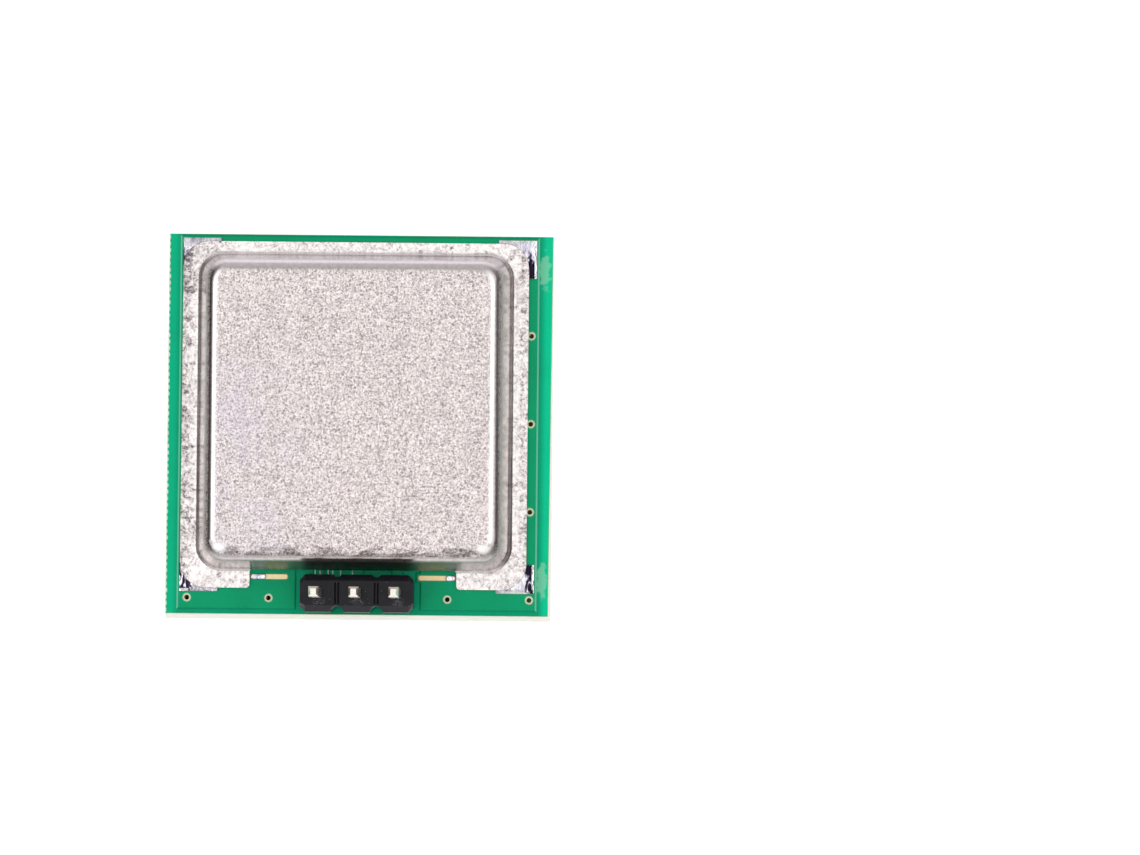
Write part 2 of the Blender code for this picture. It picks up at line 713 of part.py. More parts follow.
def add_plated_holes(copper, places, barrel_radius, hole_radius, steps=12):
    """Gives the copper its barrels through the board, and drills them."""
    low, high = above(ANTENNA_SIDE, SEAT + COPPER / 2), above(COMPONENT_SIDE, SEAT + COPPER / 2)
    barrels = [circle(place, barrel_radius, steps) for place in places]
    combine(copper, cutter_slabs(copper.name + "_barrels", barrels, low, high), "UNION")
    low, high = above(ANTENNA_SIDE, CUTTER_MARGIN), above(COMPONENT_SIDE, CUTTER_MARGIN)
    drills = [circle(place, hole_radius, steps) for place in places]
    combine(copper, cutter_slabs(copper.name + "_drills", drills, low, high), "DIFFERENCE")


def make_island(material):
    """The oval island, whose vias run through the board."""
    island = copper_layer("centre_copper_island", ANTENNA_SIDE, area_of([island_outline()]), material)
    add_plated_holes(island, ISLAND_VIAS, VIA_BARREL_RADIUS, VIA_HOLE_RADIUS)


def antenna_shapes(x_side):
    """The copper of one antenna, and the slits and the hole cut into it."""
    shapes, cuts = [], []
    for index in range(PATCHES):
        y = FIRST_PATCH_Y - index * PATCH_PITCH
        back = y + PATCH_LENGTH / 2
        inset = back - INSET_DEPTH
        feed = back + FEED_OFFSET
        half = PATCH_WIDTH / 2
        patch = rectangle(PATCH_X - half, PATCH_X + half, y - PATCH_LENGTH / 2, back)
        shapes.append(rounded(patch, PATCH_CORNER))
        for sign in (-1, 1):
            slit = PATCH_X + sign * (LINE_WIDTH + INSET_SLIT) / 2
            half, end = INSET_SLIT / 2, back + PATCH_CORNER / 2
            cuts.append(rectangle(slit - half, slit + half, inset, end))
        outermost = index in (0, PATCHES - 1)
        start = TURN_X if outermost else TRUNK_X
        path = [(start, feed), (PATCH_X, feed), (PATCH_X, inset)]
        if outermost:
            inward = -1 if index == 0 else 1
            turned = feed + inward * TURN_SPAN
            path = [(TRUNK_X, FEED_Y), (TRUNK_X, turned), (TURN_X, turned), (TURN_X, feed), *path[1:]]
        shapes.append(track(path, LINE_WIDTH))
    split_y = FIRST_PATCH_Y - PATCH_PITCH + PATCH_LENGTH / 2 + FEED_OFFSET + LINE_WIDTH / 2
    outline = rectangle(TRUNK_X - SPLIT_INNER, TRUNK_X + SPLIT_OUTER, split_y - SPLIT_LENGTH, split_y)
    middle = FEED_Y + PATCH_PITCH + WIDE_PAST_SPLIT
    for part in (rounded(outline, SPLIT_CORNER), wide_section(middle), pad_taper()):
        shapes += [part, mirrored(part, 1, FEED_Y)]
    shapes.append(circle((TRUNK_X, FEED_Y), FEED_PAD_RADIUS, 24))
    return [mirrored(part, x_side) for part in shapes], [mirrored(part, x_side) for part in cuts]


def wide_section(middle):
    half, length = WIDE_WIDTH / 2, WIDE_LENGTH / 2
    return [
        (TRUNK_X - half, middle - length + WIDE_CHAMFER),
        (TRUNK_X - LINE_WIDTH / 2, middle - length),
        (TRUNK_X + LINE_WIDTH / 2, middle - length),
        (TRUNK_X + half, middle - length + WIDE_CHAMFER),
        (TRUNK_X + half, middle + length - WIDE_CHAMFER),
        (TRUNK_X + LINE_WIDTH / 2, middle + length),
        (TRUNK_X - LINE_WIDTH / 2, middle + length),
        (TRUNK_X - half, middle + length - WIDE_CHAMFER),
    ]


def pad_taper():
    """The wedge from the round feed pad into the line."""
    half = FEED_PAD_RADIUS * sin(pi / 4)
    near = FEED_Y + FEED_PAD_RADIUS * cos(pi / 4)
    far = FEED_Y + FEED_PAD_TAPER
    line = LINE_WIDTH / 2
    return [(TRUNK_X - half, near), (TRUNK_X - line, far), (TRUNK_X + line, far), (TRUNK_X + half, near)]


def make_antenna(name, x_side, material):
    antenna = copper_layer(name, ANTENNA_SIDE, area_of(*antenna_shapes(x_side)), material)
    add_plated_holes(antenna, [(x_side * TRUNK_X, FEED_Y)], FEED_BARREL_RADIUS, FEED_HOLE_RADIUS, 16)


def make_mask(name, side, outline, copper_areas, openings, dimples, material):
    """A coat of mask that rises over the copper under it, with sloping sides and the openings left out."""
    mask = slab(name, area_of([outline]), [(above(side, SEAT), 0), (above(side, MASK_TOP), 0)], material)
    for index, area in enumerate(copper_areas):
        levels = [(above(side, MASK_TOP - MASK_SLOPE_ROOT), MASK_SLOPE), (above(side, RAISED_MASK_TOP), 0)]
        combine(mask, slab(f"{name}_raised_{index}", area, levels), "UNION")
    for index, area in enumerate(copper_areas):
        levels = [(above(side, -CUTTER_MARGIN), SEAT), (above(side, RAISED_MASK_BOTTOM), SEAT)]
        combine(mask, slab(f"{name}_relief_{index}", area, levels), "DIFFERENCE")
    low, high = above(side, -CUTTER_MARGIN), above(side, CUTTER_MARGIN)
    combine(mask, cutter_slabs(name + "_openings", openings, low, high), "DIFFERENCE")
    if dimples:
        combine(mask, dimple_cutter(name + "_dimples", side, dimples), "DIFFERENCE")
    return mask


def dimple_cutter(name, side, places):
    """Shallow bowls where the mask sinks into covered vias."""
    shape = bmesh.new()
    for place in places:
        rings = []
        for radius, height in ((DIMPLE_RADIUS * 1.5, DIMPLE_DEPTH), (DIMPLE_RADIUS * 0.5, -DIMPLE_DEPTH)):
            z = above(side, RAISED_MASK_TOP + height)
            rings.append([(x, y, z) for x, y in circle(place, radius)])
        add_loft(shape, rings)
    return new_object(name, shape)


def corner_pads():
    """The bare pads at the can's corners, as their boxes with the corner's two directions."""
    left = -EDGE + POUR_SIDE_MARGIN + CORNER_PAD_EDGE
    right = EDGE - POUR_RIGHT_MARGIN - CORNER_PAD_EDGE
    top = EDGE - POUR_BACK_MARGIN - CORNER_PAD_EDGE
    low = FLANGE_BOX[2] - CORNER_PAD_EDGE * 4
    length, depth = CORNER_PAD_LENGTH, CORNER_PAD_DEPTH
    return {
        "back_left": (left, left + length, top - depth, top),
        "back_right": (right - length, right, top - length, top),
        "front_left": (left, left + length, low, low + depth),
        "front_right": (right - length, right, low, low + depth),
    }


def component_side_openings():
    left, right, front, _ = via_places()
    beyond = BARE_BEYOND_CIRCUIT
    front_y = WALL_BOX[2] + BARE_FROM_WALL
    circuit = rectangle(CIRCUIT_LEFT - beyond, CIRCUIT_RIGHT + beyond, front_y, CIRCUIT_BACK + beyond)
    bare = [left[-1], *right[1:], *front]
    rings = [circle(place, VIA_RING_RADIUS, 20) for place in bare]
    pads = [rectangle(*box) for box in corner_pads().values()]
    strips = [rounded(rectangle(*box), STRIP_WIDTH * 0.4) for box in strip_boxes()]
    holes = [circle((x, HEADER_Y), HEADER_PAD_RADIUS + SEAT, 16) for x in PIN_XS]
    return [circuit, *rings, *pads, *strips, *holes]


def make_masks(material):
    ground = area_of(ground_shapes_on_component_side())
    tracks = [area_of(supply_shapes()), area_of(signal_shapes())]
    make_mask(
        "component_side_mask",
        COMPONENT_SIDE,
        jagged_mask_outline(),
        [ground, *tracks],
        component_side_openings(),
        [],
        material,
    )
    left, right, front, back = via_places()
    island = [place for index, place in enumerate(ISLAND_VIAS) if index != BARE_ISLAND_VIA]
    bare = [*right, ISLAND_VIAS[BARE_ISLAND_VIA]]
    pad = JOINT_SIDE / 2 + JOINT_PAD_EDGE
    pads = [rectangle(x - pad, x + pad, HEADER_Y - pad, HEADER_Y + pad) for x in PIN_XS]
    openings = [
        *[window_outline(x_side) for x_side in (-1, 1)],
        *[circle(place, VIA_RING_RADIUS, 20) for place in bare],
        *[rounded(outline, pad / 4) for outline in pads],
    ]
    make_mask(
        "antenna_side_mask",
        ANTENNA_SIDE,
        mask_outline(),
        [ground_on_antenna_side(), area_of([island_outline()])],
        openings,
        [*left, *front, *back, CENTRE_VIA, *island],
        material,
    )


def make_oscillator_microstrip(material):
    """From the transistor to the transmit feed, and on to a gap beside the mixer's ring."""
    feed = (-TRUNK_X, FEED_Y)
    foot = TRANSISTOR_BACK_FOOT
    land = (LEAD_SPACING + LEAD_WIDTH) / 2 + SEAT
    turn_y = FEED_Y + feed[0] - TRANSISTOR_X
    resistor_end = RESISTOR_X - RESISTOR[0] / 2 + CHIP_END
    ring_left = RING_CENTRE[0] - RING_RADIUS - RING_WIDTH / 2 - COUPLING_GAP
    shapes = [
        track([feed, (TRANSISTOR_X, turn_y), (TRANSISTOR_X, foot)], MICROSTRIP_WIDTH),
        track([feed, (feed[0], RING_CENTRE[1]), (ring_left, RING_CENTRE[1])], MICROSTRIP_WIDTH),
        circle(feed, FEED_PAD_RADIUS, 24),
        rectangle(TRANSISTOR_X - land, TRANSISTOR_X + land, foot - LEAD_FOOT, foot + LEAD_FOOT),
        track([(TRANSISTOR_X, RESISTOR_Y), (resistor_end, RESISTOR_Y)], TRACK_WIDTH),
    ]
    area = area_of(shapes, [circle(feed, FEED_BARREL_RADIUS + SEAT, 16)])
    copper_layer("oscillator_microstrip", COMPONENT_SIDE, area, material)


def make_mixer_microstrip(material):
    """A ring with the receive feed, the diodes and the output, which a radial choke decouples."""
    feed = (TRUNK_X, FEED_Y)
    x, y = RING_CENTRE
    port = (x + RING_RADIUS * cos(-pi / 3), y + RING_RADIUS * sin(-pi / 3))
    fan = [CHOKE_HALF_ANGLE * (step / 4 - 1) for step in range(9)]
    choke = [(SIGNAL_X, CHOKE_Y)]
    choke += [(SIGNAL_X + CHOKE_RADIUS * cos(a), CHOKE_Y + CHOKE_RADIUS * sin(a)) for a in fan]
    diode_land = LEAD_FOOT + SEAT
    shapes = [
        circle(RING_CENTRE, RING_RADIUS + RING_WIDTH / 2, 40),
        track([port, (SIGNAL_X, FEED_Y), feed], MICROSTRIP_WIDTH),
        circle(feed, FEED_PAD_RADIUS, 24),
        track([(x, y - RING_RADIUS), (x, FIRST_DIODE_Y + LEAD_SPAN / 2 - diode_land)], RING_WIDTH),
        track([(x + RING_RADIUS, y), (SECOND_DIODE_X - LEAD_SPAN / 2 + diode_land, y)], RING_WIDTH),
        choke,
        track([(SIGNAL_X, LOAD_Y), (LOAD_X - RESISTOR[0] / 2 + CHIP_END, LOAD_Y)], TRACK_WIDTH),
        *signal_shapes(),
    ]
    holes = [
        circle(RING_CENTRE, RING_RADIUS - RING_WIDTH / 2, 40),
        circle(feed, FEED_BARREL_RADIUS + SEAT, 16),
        header_hole(PIN_XS[1]),
    ]
    copper_layer("mixer_microstrip", COMPONENT_SIDE, area_of(shapes, holes), material)


def make_can(material):
    """A tray drawn from one sheet: flat flange, base fillet, drafted wall and rounded top edge. The left and
    right walls lean in more than the others."""
    top = FLANGE_TOP + CAN_HEIGHT - CAN_SHEET
    run = (top - FLANGE_TOP) * tan(CAN_DRAFT)
    corners = [(FLANGE_LEFT, FLANGE_TOP), (0.0, FLANGE_TOP), (-run, top), (-CAN_FLAT_DEPTH, top)]
    profile = bent(corners, [CAN_BASE_FILLET, CAN_TOP_ROUNDING], 5)[1:-1]
    left, right, front, back = WALL_BOX
    rings = [[(x, y, FLANGE_TOP) for x, y in flange_outline()]]
    for offset, z in profile:
        in_left, in_right = offset * CAN_LEFT_LEAN, offset * CAN_RIGHT_LEAN
        box = rectangle(left - in_left, right + in_right, front - offset, back + offset)
        corner = CAN_CORNER + offset * CAN_CORNER_TAPER
        rings.append([(x, y, z) for x, y in rounded(box, corner, 6)])
    shape = bmesh.new()
    add_loft(shape, rings, capped=(False, True))
    bmesh.ops.recalc_face_normals(shape, faces=shape.faces)
    can = new_object("shield_can", shape, material)
    if can.data.polygons[-1].normal.z < 0:
        can.data.flip_normals()
    sheet = can.modifiers.new("sheet", "SOLIDIFY")
    sheet.thickness = CAN_SHEET
    sheet.offset = -1
    sheet.use_even_offset = True
    low, high = FLANGE_BOTTOM - CUTTER_MARGIN, top
    combine(can, slab("flange_gap", flange_gap(), [(low, 0), (high, 0)]), "DIFFERENCE")
    smooth(can)


def flange_gap():
    """The gap in the flange, in front of the wall, which also rounds the corners of the flange's ends."""
    gap = rectangle(FLANGE_GAP_LEFT_X, FLANGE_GAP_RIGHT_X, -EDGE - CUTTER_MARGIN, WALL_BOX[2])
    front, corner = FLANGE_BOX[2], FLANGE_END_CORNER
    squares, circles = [], []
    for end, way in ((FLANGE_GAP_LEFT_X, -1), (FLANGE_GAP_RIGHT_X, 1)):
        inner, outer = end - way * corner, end + way * corner
        squares.append(rectangle(min(inner, outer), max(inner, outer), front - CUTTER_MARGIN, front + corner))
        circles.append(circle((outer, front + corner), corner, 24))
    return area_of([rounded(gap, FLANGE_GAP_CORNER), *squares], circles)


def make_corner_solder(material):
    """Solder that fills each bare pad up to the flange's edge, with the beads that it left as it set."""
    flange = flange_outline(CORNER_SOLDER_CLEARANCE)
    low = COMPONENT_FACE + RAISED_MASK_BOTTOM
    for name, (left, right, front, back) in corner_pads().items():
        edge = CORNER_SOLDER_CLEARANCE
        pad = rectangle(left + edge, right - edge, front + edge, back - edge)
        area = area_of([pad], [flange])
        item = slab("shield_solder_" + name, area, [(low, 0), (solder_height, 0)], material)
        inset = edge * 2 + BEAD_RADIUS
        ends = {
            "back_left": [],
            "back_right": [(right - inset, front + inset)],
            "front_left": [(left + inset, front + inset), (right - inset, front + inset)],
            "front_right": [
                (left + inset, front + inset),
                (right - inset, front + inset),
                (right - inset, back - inset),
            ],
        }
        for index, place in enumerate(ends[name]):
            combine(item, solder_bead(f"{item.name}_bead_{index}", place), "UNION")
        smooth(item)


def solder_bead(name, place):
    """A low round bead that stands on the pad."""
    shape = bmesh.new()
    bmesh.ops.create_uvsphere(shape, u_segments=14, v_segments=8, radius=BEAD_RADIUS)
    for vertex in shape.verts:
        vertex.co.z *= BEAD_SQUASH
    middle = COMPONENT_FACE + RAISED_MASK_BOTTOM + BEAD_RADIUS * BEAD_SQUASH
    bmesh.ops.translate(shape, verts=shape.verts, vec=(*place, middle))
    return new_object(name, shape)


def make_strip_solder(material):
    """The solder that ran from the flange's cut ends onto the strips."""
    low = COMPONENT_FACE + COPPER_TOP + SEAT
    half = STRIP_WIDTH / 2 - CORNER_SOLDER_CLEARANCE - STRIP_SOLDER_SLOPE / 2
    ends = ((FLANGE_GAP_LEFT_X, 1), (FLANGE_GAP_RIGHT_X, -1))
    for side, (end, way), length in zip(("left", "right"), ends, STRIP_SOLDER_LENGTHS):
        near = end + way * (CORNER_SOLDER_CLEARANCE * 2 + STRIP_SOLDER_SLOPE)
        far = near + way * length
        box = rectangle(min(near, far), max(near, far), STRIP_Y - half, STRIP_Y + half)
        outline = rounded(box, half * 0.8)
        high = low + STRIP_SOLDER_HEIGHT
        slope = STRIP_SOLDER_SLOPE
        levels = [(low, slope / 2), (high - slope, slope / 2), (high - slope / 3, 0), (high, -slope)]
        smooth(slab("strip_solder_" + side, area_of([outline]), levels, material), radians(60))


def solder_height(x, y):
    """High against the flange, whose outline it follows, and low where the pad ends."""
    left, right, front, back = FLANGE_BOX
    reach = max(left - x, x - right, front - y, y - back, 0.0)
    past_x = max(left + FLANGE_CORNER - x, x - right + FLANGE_CORNER, 0.0)
    past_y = max(front + FLANGE_CORNER - y, y - back + FLANGE_CORNER, 0.0)
    if min(past_x, past_y) > 0:
        reach = max(Vector((past_x, past_y)).length - FLANGE_CORNER, 0.0)
    fall = min(reach / CORNER_PAD_DEPTH * 4, 1.0)
    return FLANGE_TOP - (CAN_SHEET + SEAT) * fall


def make_header(housing_material, pin_material, solder_material):
    make_housing(housing_material)
    for index, x in enumerate(PIN_XS, start=1):
        make_pin(f"header_pin_{index}", x, pin_material)
        make_pin_joint(f"pin_solder_{index}", x, solder_material)


def make_housing(material):
    """Three blocks in a row with bevelled corners. The long sides slope in near the top, and between the
    blocks there are notches in both sides and two narrow slots."""
    half, bevel = HOUSING_DEPTH / 2, HOUSING_CORNER
    left, right = PIN_XS[0] - HOUSING_END, PIN_XS[-1] + HOUSING_END
    front = [(left, -half + bevel), (left + bevel, -half), (right - bevel, -half), (right, -half + bevel)]
    outline = front + [(x, -y) for x, y in reversed(front)]
    narrow = HOUSING_TOP_DEPTH / HOUSING_DEPTH
    rings = []
    for z, depth in ((HOUSING_BOTTOM, 1), (HOUSING_TOP - HOUSING_SLOPE_HEIGHT, 1), (HOUSING_TOP, narrow)):
        rings.append([(x, HEADER_Y + y * depth, z) for x, y in outline])
    shape = bmesh.new()
    add_loft(shape, rings)
    housing = new_object("header_housing", shape, material)

    pin = PIN_SIDE / 2 + PIN_CLEARANCE
    through = [rectangle(x - pin, x + pin, HEADER_Y - pin, HEADER_Y + pin) for x in PIN_XS]
    width, length = HOUSING_SLOT_WIDTH / 2, HOUSING_SLOT_LENGTH / 2
    slots = []
    for x in [(a + b) / 2 for a, b in zip(PIN_XS, PIN_XS[1:])]:
        through.append(circle((x, HEADER_Y - half), FRONT_NOTCH_RADIUS, 24))
        back_notch = (x, HEADER_Y + half - BACK_NOTCH_DEPTH + BACK_NOTCH_RADIUS)
        through.append(circle(back_notch, BACK_NOTCH_RADIUS, 20))
        for middle in (x - HOUSING_SLOT_SPACING / 2, x + HOUSING_SLOT_SPACING / 2):
            slots.append(rectangle(middle - width, middle + width, HEADER_Y - length, HEADER_Y + length))
    low, high = HOUSING_BOTTOM - CUTTER_MARGIN, HOUSING_TOP + CUTTER_MARGIN
    combine(housing, cutter_slabs("pin_holes_and_notches", through, low, high), "DIFFERENCE")
    cutter = cutter_slabs("housing_slots", slots, HOUSING_TOP - HOUSING_SLOT_DEPTH, high)
    combine(housing, cutter, "DIFFERENCE")


def square_ring(half, z):
    return [(x, y, z) for x, y in rectangle(-half, half, -half, half)]


def make_pin(name, x, material):
    """A square pin, tapered at both ends."""
    top = HOUSING_TOP + PIN_ABOVE_HOUSING
    rings = [
        square_ring(PIN_TAIL_SIDE / 2, 0.0),
        square_ring(PIN_SIDE / 2, PIN_TAIL_TAPER),
        square_ring(PIN_SIDE / 2, top - PIN_TOP_TAPER),
        square_ring(PIN_TOP_SIDE / 2, top),
    ]
    shape = bmesh.new()
    add_loft(shape, rings)
    pin = new_object(name, shape, material)
    pin.location = (x, HEADER_Y, 0)


def pillow_ring(half, hollow, z, steps=32):
    """A square with rounded corners and slightly hollow sides."""
    points = []
    for step in range(steps):
        angle = 2 * pi * (step + 0.5) / steps
        power = 6
        reach = half / (abs(cos(angle)) ** power + abs(sin(angle)) ** power) ** (1 / power)
        reach -= hollow * cos(2 * angle) ** 2
        points.append((reach * cos(angle), reach * sin(angle), z))
    return points


def make_pin_joint(name, x, material):
    """The solder that fills the plated hole and rises along the pin's tail in a hollow cone."""
    inner = PIN_SIDE / 2 + SEAT
    tip = inner + JOINT_END_WALL
    base = JOINT_SIDE / 2
    levels = 6
    rings = []
    for level in range(levels + 1):
        share = level / levels
        half = tip + (base - tip) * share**JOINT_POWER
        z = ANTENNA_FACE - SEAT - JOINT_HEIGHT * (1 - share)
        rings.append(pillow_ring(half, JOINT_HOLLOW * share, z))
    steps = len(rings[0])
    barrel = HEADER_HOLE_RADIUS - SEAT
    angles = [2 * pi * (step + 0.5) / steps for step in range(steps)]
    for z in (ANTENNA_FACE - SEAT, COMPONENT_FACE):
        rings.append([(barrel * cos(a), barrel * sin(a), z) for a in angles])
    shape = bmesh.new()
    add_loft(shape, rings)
    joint = new_object(name, shape, material)
    joint.location = (x, HEADER_Y, 0)
    hole = rectangle(-inner, inner, -inner, inner)
    cutter = cutter_slabs(name + "_hole", [hole], -CUTTER_MARGIN, COMPONENT_FACE + CUTTER_MARGIN)
    cutter.location = joint.location
    combine(joint, cutter, "DIFFERENCE")
    smooth(joint)


def make_packaged_part(name, centre, turn, feet, material):
    """A moulded package with bent leads. Feet are (place along the package, side) pairs."""
    length, width = PACKAGE_LENGTH / 2, PACKAGE_WIDTH / 2
    stand = LEAD_THICKNESS
    middle = stand + (PACKAGE_HEIGHT - stand) * 0.5
    rings = []
    for z, inset in ((stand, PACKAGE_DRAFT), (middle, 0), (PACKAGE_HEIGHT, PACKAGE_DRAFT)):
        outline = rectangle(-length + inset, length - inset, -width + inset, width - inset)
        rings.append([(x, y, z) for x, y in outline])
    shape = bmesh.new()
    add_loft(shape, rings)
    package = new_object(name, shape, material)
    leads = bmesh.new()
    half = LEAD_THICKNESS / 2
    bend_y = width + (LEAD_SPAN / 2 - LEAD_FOOT - width) / 2
    path = [(LEAD_SPAN / 2, half), (bend_y + half, half), (bend_y, middle), (width - LEAD_FOOT, middle)]
    outline = track(path, LEAD_THICKNESS, LEAD_THICKNESS * 0.6)
    for place, side in feet:
        sections = [place - LEAD_WIDTH / 2, place + LEAD_WIDTH / 2]
        add_loft(leads, [[(x, side * y, z) for y, z in outline] for x in sections])
    lead_item = new_object(name + "_leads", leads)
    for item in (package, lead_item):
        item.location = (*centre, CIRCUIT_PART_Z)
        item.rotation_euler.z = turn
    combine(package, lead_item, "UNION")


def make_chip(name, size, centre, material):
    """A ceramic chip with plated ends that stand a little proud of its middle."""
    length, width, height = size
    half = length / 2
    stations = (
        (-half, 0),
        (-half + CHIP_END, 0),
        (-half + CHIP_END, CHIP_RECESS),
        (half - CHIP_END, CHIP_RECESS),
        (half - CHIP_END, 0),
        (half, 0),
    )
    rings = []
    for x, recess in stations:
        section = rectangle(-width / 2 + recess, width / 2 - recess, recess, height - recess)
        rings.append([(x, y, z) for y, z in section])
    shape = bmesh.new()
    add_loft(shape, rings)
    chip = new_object(name, shape, material)
    chip.location = (*centre, CIRCUIT_PART_Z)


def make_circuit_parts(package_material, resistor_material, capacitor_material):
    side = LEAD_SPACING / 2
    transistor = (TRANSISTOR_X, TRANSISTOR_BACK_FOOT - LEAD_SPAN / 2)
    four = [(-side, 1), (side, 1), (-side, -1), (side, -1)]
    three = [(-side, -1), (side, -1), (0.0, 1)]
    make_packaged_part("oscillator_transistor", transistor, 0, four, package_material)
    make_packaged_part("mixer_diode_1", (RING_CENTRE[0], FIRST_DIODE_Y), 0, three, package_material)
    make_packaged_part("mixer_diode_2", (SECOND_DIODE_X, RING_CENTRE[1]), pi / 2, three, package_material)
    make_chip("bias_resistor_1", RESISTOR, (RESISTOR_X, RESISTOR_Y), resistor_material)
    make_chip("bias_resistor_2", RESISTOR, (LOAD_X, LOAD_Y), resistor_material)
    first = (PIN_XS[0] - TRACK_WIDTH / 2 - CAPACITOR_1[0] / 2, CAPACITOR_Y)
    second = ((PIN_XS[1] + PIN_XS[2]) / 2, CAPACITOR_Y)
    make_chip("bypass_capacitor_1", CAPACITOR_1, first, capacitor_material)
    make_chip("bypass_capacitor_2", CAPACITOR_2, second, capacitor_material)


def clear_scene():
    for item in list(bpy.data.objects):
        bpy.data.objects.remove(item)


def main():
    clear_scene()
    laminate = finish("laminate", (0.78, 0.77, 0.62), 0.6)
    mask = finish("solder_mask", (0.02, 0.42, 0.22), 0.3)
    gold = finish("gold", (0.9, 0.75, 0.4), 0.35, 1.0)
    tin = finish("tin_plated_steel", (0.75, 0.73, 0.72), 0.35, 1.0)
    solder = finish("solder", (0.8, 0.8, 0.83), 0.2, 1.0)
    plastic = finish("header_plastic", (0.03, 0.03, 0.035), 0.45)
    pin_metal = finish("pin_metal", (0.85, 0.8, 0.7), 0.3, 1.0)
    package = finish("package", (0.03, 0.03, 0.03), 0.5)
    resistor = finish("resistor", (0.05, 0.05, 0.06), 0.4)
    capacitor = finish("capacitor", (0.45, 0.33, 0.2), 0.5)

    make_board(laminate)
    make_ground_copper(gold)
    make_island(gold)
    make_antenna("transmit_antenna", -1, gold)
    make_antenna("receive_antenna", 1, gold)
    make_masks(mask)
    make_oscillator_microstrip(gold)
    make_mixer_microstrip(gold)
    copper_layer("supply_track", COMPONENT_SIDE, area_of(supply_shapes(), [header_hole(PIN_XS[0])]), gold)
    make_can(tin)
    make_corner_solder(solder)
    make_strip_solder(solder)
    make_header(plastic, pin_metal, solder)
    make_circuit_parts(package, resistor, capacitor)


main()
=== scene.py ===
"""Looks of the radar motion sensor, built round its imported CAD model.

Metres, in the part's frame: +Z up out of the component side, -Y towards the header.
"""

import json
from math import cos, pi, radians, sin

import bmesh
import bpy
from mathutils import Matrix, Vector

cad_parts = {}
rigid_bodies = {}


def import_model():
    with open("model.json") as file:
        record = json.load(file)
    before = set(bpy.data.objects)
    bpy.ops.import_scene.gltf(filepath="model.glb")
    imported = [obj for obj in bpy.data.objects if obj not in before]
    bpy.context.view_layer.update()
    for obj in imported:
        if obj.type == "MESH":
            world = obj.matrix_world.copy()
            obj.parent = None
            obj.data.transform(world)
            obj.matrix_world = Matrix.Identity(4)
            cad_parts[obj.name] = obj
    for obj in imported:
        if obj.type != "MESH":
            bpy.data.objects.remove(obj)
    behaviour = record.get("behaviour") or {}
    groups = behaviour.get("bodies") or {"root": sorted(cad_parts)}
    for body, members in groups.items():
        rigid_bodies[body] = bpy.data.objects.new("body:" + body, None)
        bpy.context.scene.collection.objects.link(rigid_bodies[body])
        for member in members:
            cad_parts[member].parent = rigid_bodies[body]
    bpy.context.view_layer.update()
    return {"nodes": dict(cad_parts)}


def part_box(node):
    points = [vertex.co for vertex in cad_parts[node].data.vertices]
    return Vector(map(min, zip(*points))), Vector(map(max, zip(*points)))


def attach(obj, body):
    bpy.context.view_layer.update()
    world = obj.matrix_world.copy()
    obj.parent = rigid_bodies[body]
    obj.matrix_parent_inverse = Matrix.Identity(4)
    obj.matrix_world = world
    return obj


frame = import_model()
nodes = frame["nodes"]

MM = 0.001
MICROMETRE = 0.000001
BODY = "root"
WHITE = (1, 1, 1, 1)
BLACK = (0, 0, 0, 1)

# The photograph: its pixels, and the point of the part's frame in its middle
PHOTO_WIDTH = 1140
PIXELS_PER_MM = 15.4
AIM = Vector((13.653, 0.112, 3.0)) * MM

# The camera stands this far away, leans to the front and is turned a little, in radians
CAMERA_DISTANCE = 400 * MM
CAMERA_TILT = 0.045
CAMERA_ROLL = 0.0096
SENSOR_WIDTH = 36.0

BOARD_HALF = 12.5 * MM
COMPONENT_FACE = 3.0 * MM
ANTENNA_FACE = 1.4 * MM
COPPER_RISE = 0.06 * MM
CAN_TOP = 6.1 * MM

COPPER = (
    "ground_copper",
    "transmit_antenna",
    "receive_antenna",
    "centre_copper_island",
    "oscillator_microstrip",
    "mixer_microstrip",
    "supply_track",
)
SOLDER = (
    "shield_solder_back_left",
    "shield_solder_back_right",
    "shield_solder_front_left",
    "shield_solder_front_right",
    "strip_solder_left",
    "strip_solder_right",
    "pin_solder_1",
    "pin_solder_2",
    "pin_solder_3",
)
PINS = ("header_pin_1", "header_pin_2", "header_pin_3")
PACKAGES = ("oscillator_transistor", "mixer_diode_1", "mixer_diode_2")
RESISTORS = ("bias_resistor_1", "bias_resistor_2")
CAPACITORS = ("bypass_capacitor_1", "bypass_capacitor_2")

# Places on the board's plane, in millimetres: middles of painted glints, and middles and radii of the rest
PAINTED_CAN_GLINTS = ((-8.9, -7.95), (8.15, -7.95))
CAN_SCRATCHES = (
    ((3.5, -4.55), (0.55, 0.05)),
    ((4.15, -4.75), (0.35, 0.045)),
    ((3.2, -4.8), (0.25, 0.05)),
)
WORN_FLANGE = ((-10.4, 10.6), (1.6, 2.2))
DARK_SOLDER_PATCH = ((11.0, 9.9), (0.3, 1.2))
MASK_CRACKS = ((1.0, -8.9), (3.6, 0.9))

# The middle of each pale mark on the header, from the front of its pin, and its radii, in millimetres
PIN_MARK_OFFSET = (0.1, -0.22)
PIN_MARK_RADII = (0.42, 0.26)

WEAVE_SIZE = 0.42 * MM

# The packages' bare bodies and the chips' plated ends, along their longer sides
PACKAGE_BODY_HALF = 0.66 * MM
CHIP_PLATING = 0.3 * MM

# Rims: how far they stand off the copper, how far from its edge they start, and how far each kind reaches
RIM_LIFT = 0.004 * MM
RIM_START = 0.002 * MM
VIA_RIM = 0.09 * MM
STRIP_RIM = 0.045 * MM
ANTENNA_RIM = 0.05 * MM

# The least and the largest area, in square millimetres, of the mask's openings round vias and strips
VIA_AREAS = (0.2, 0.35)
STRIP_AREAS = (0.6, 1.4)

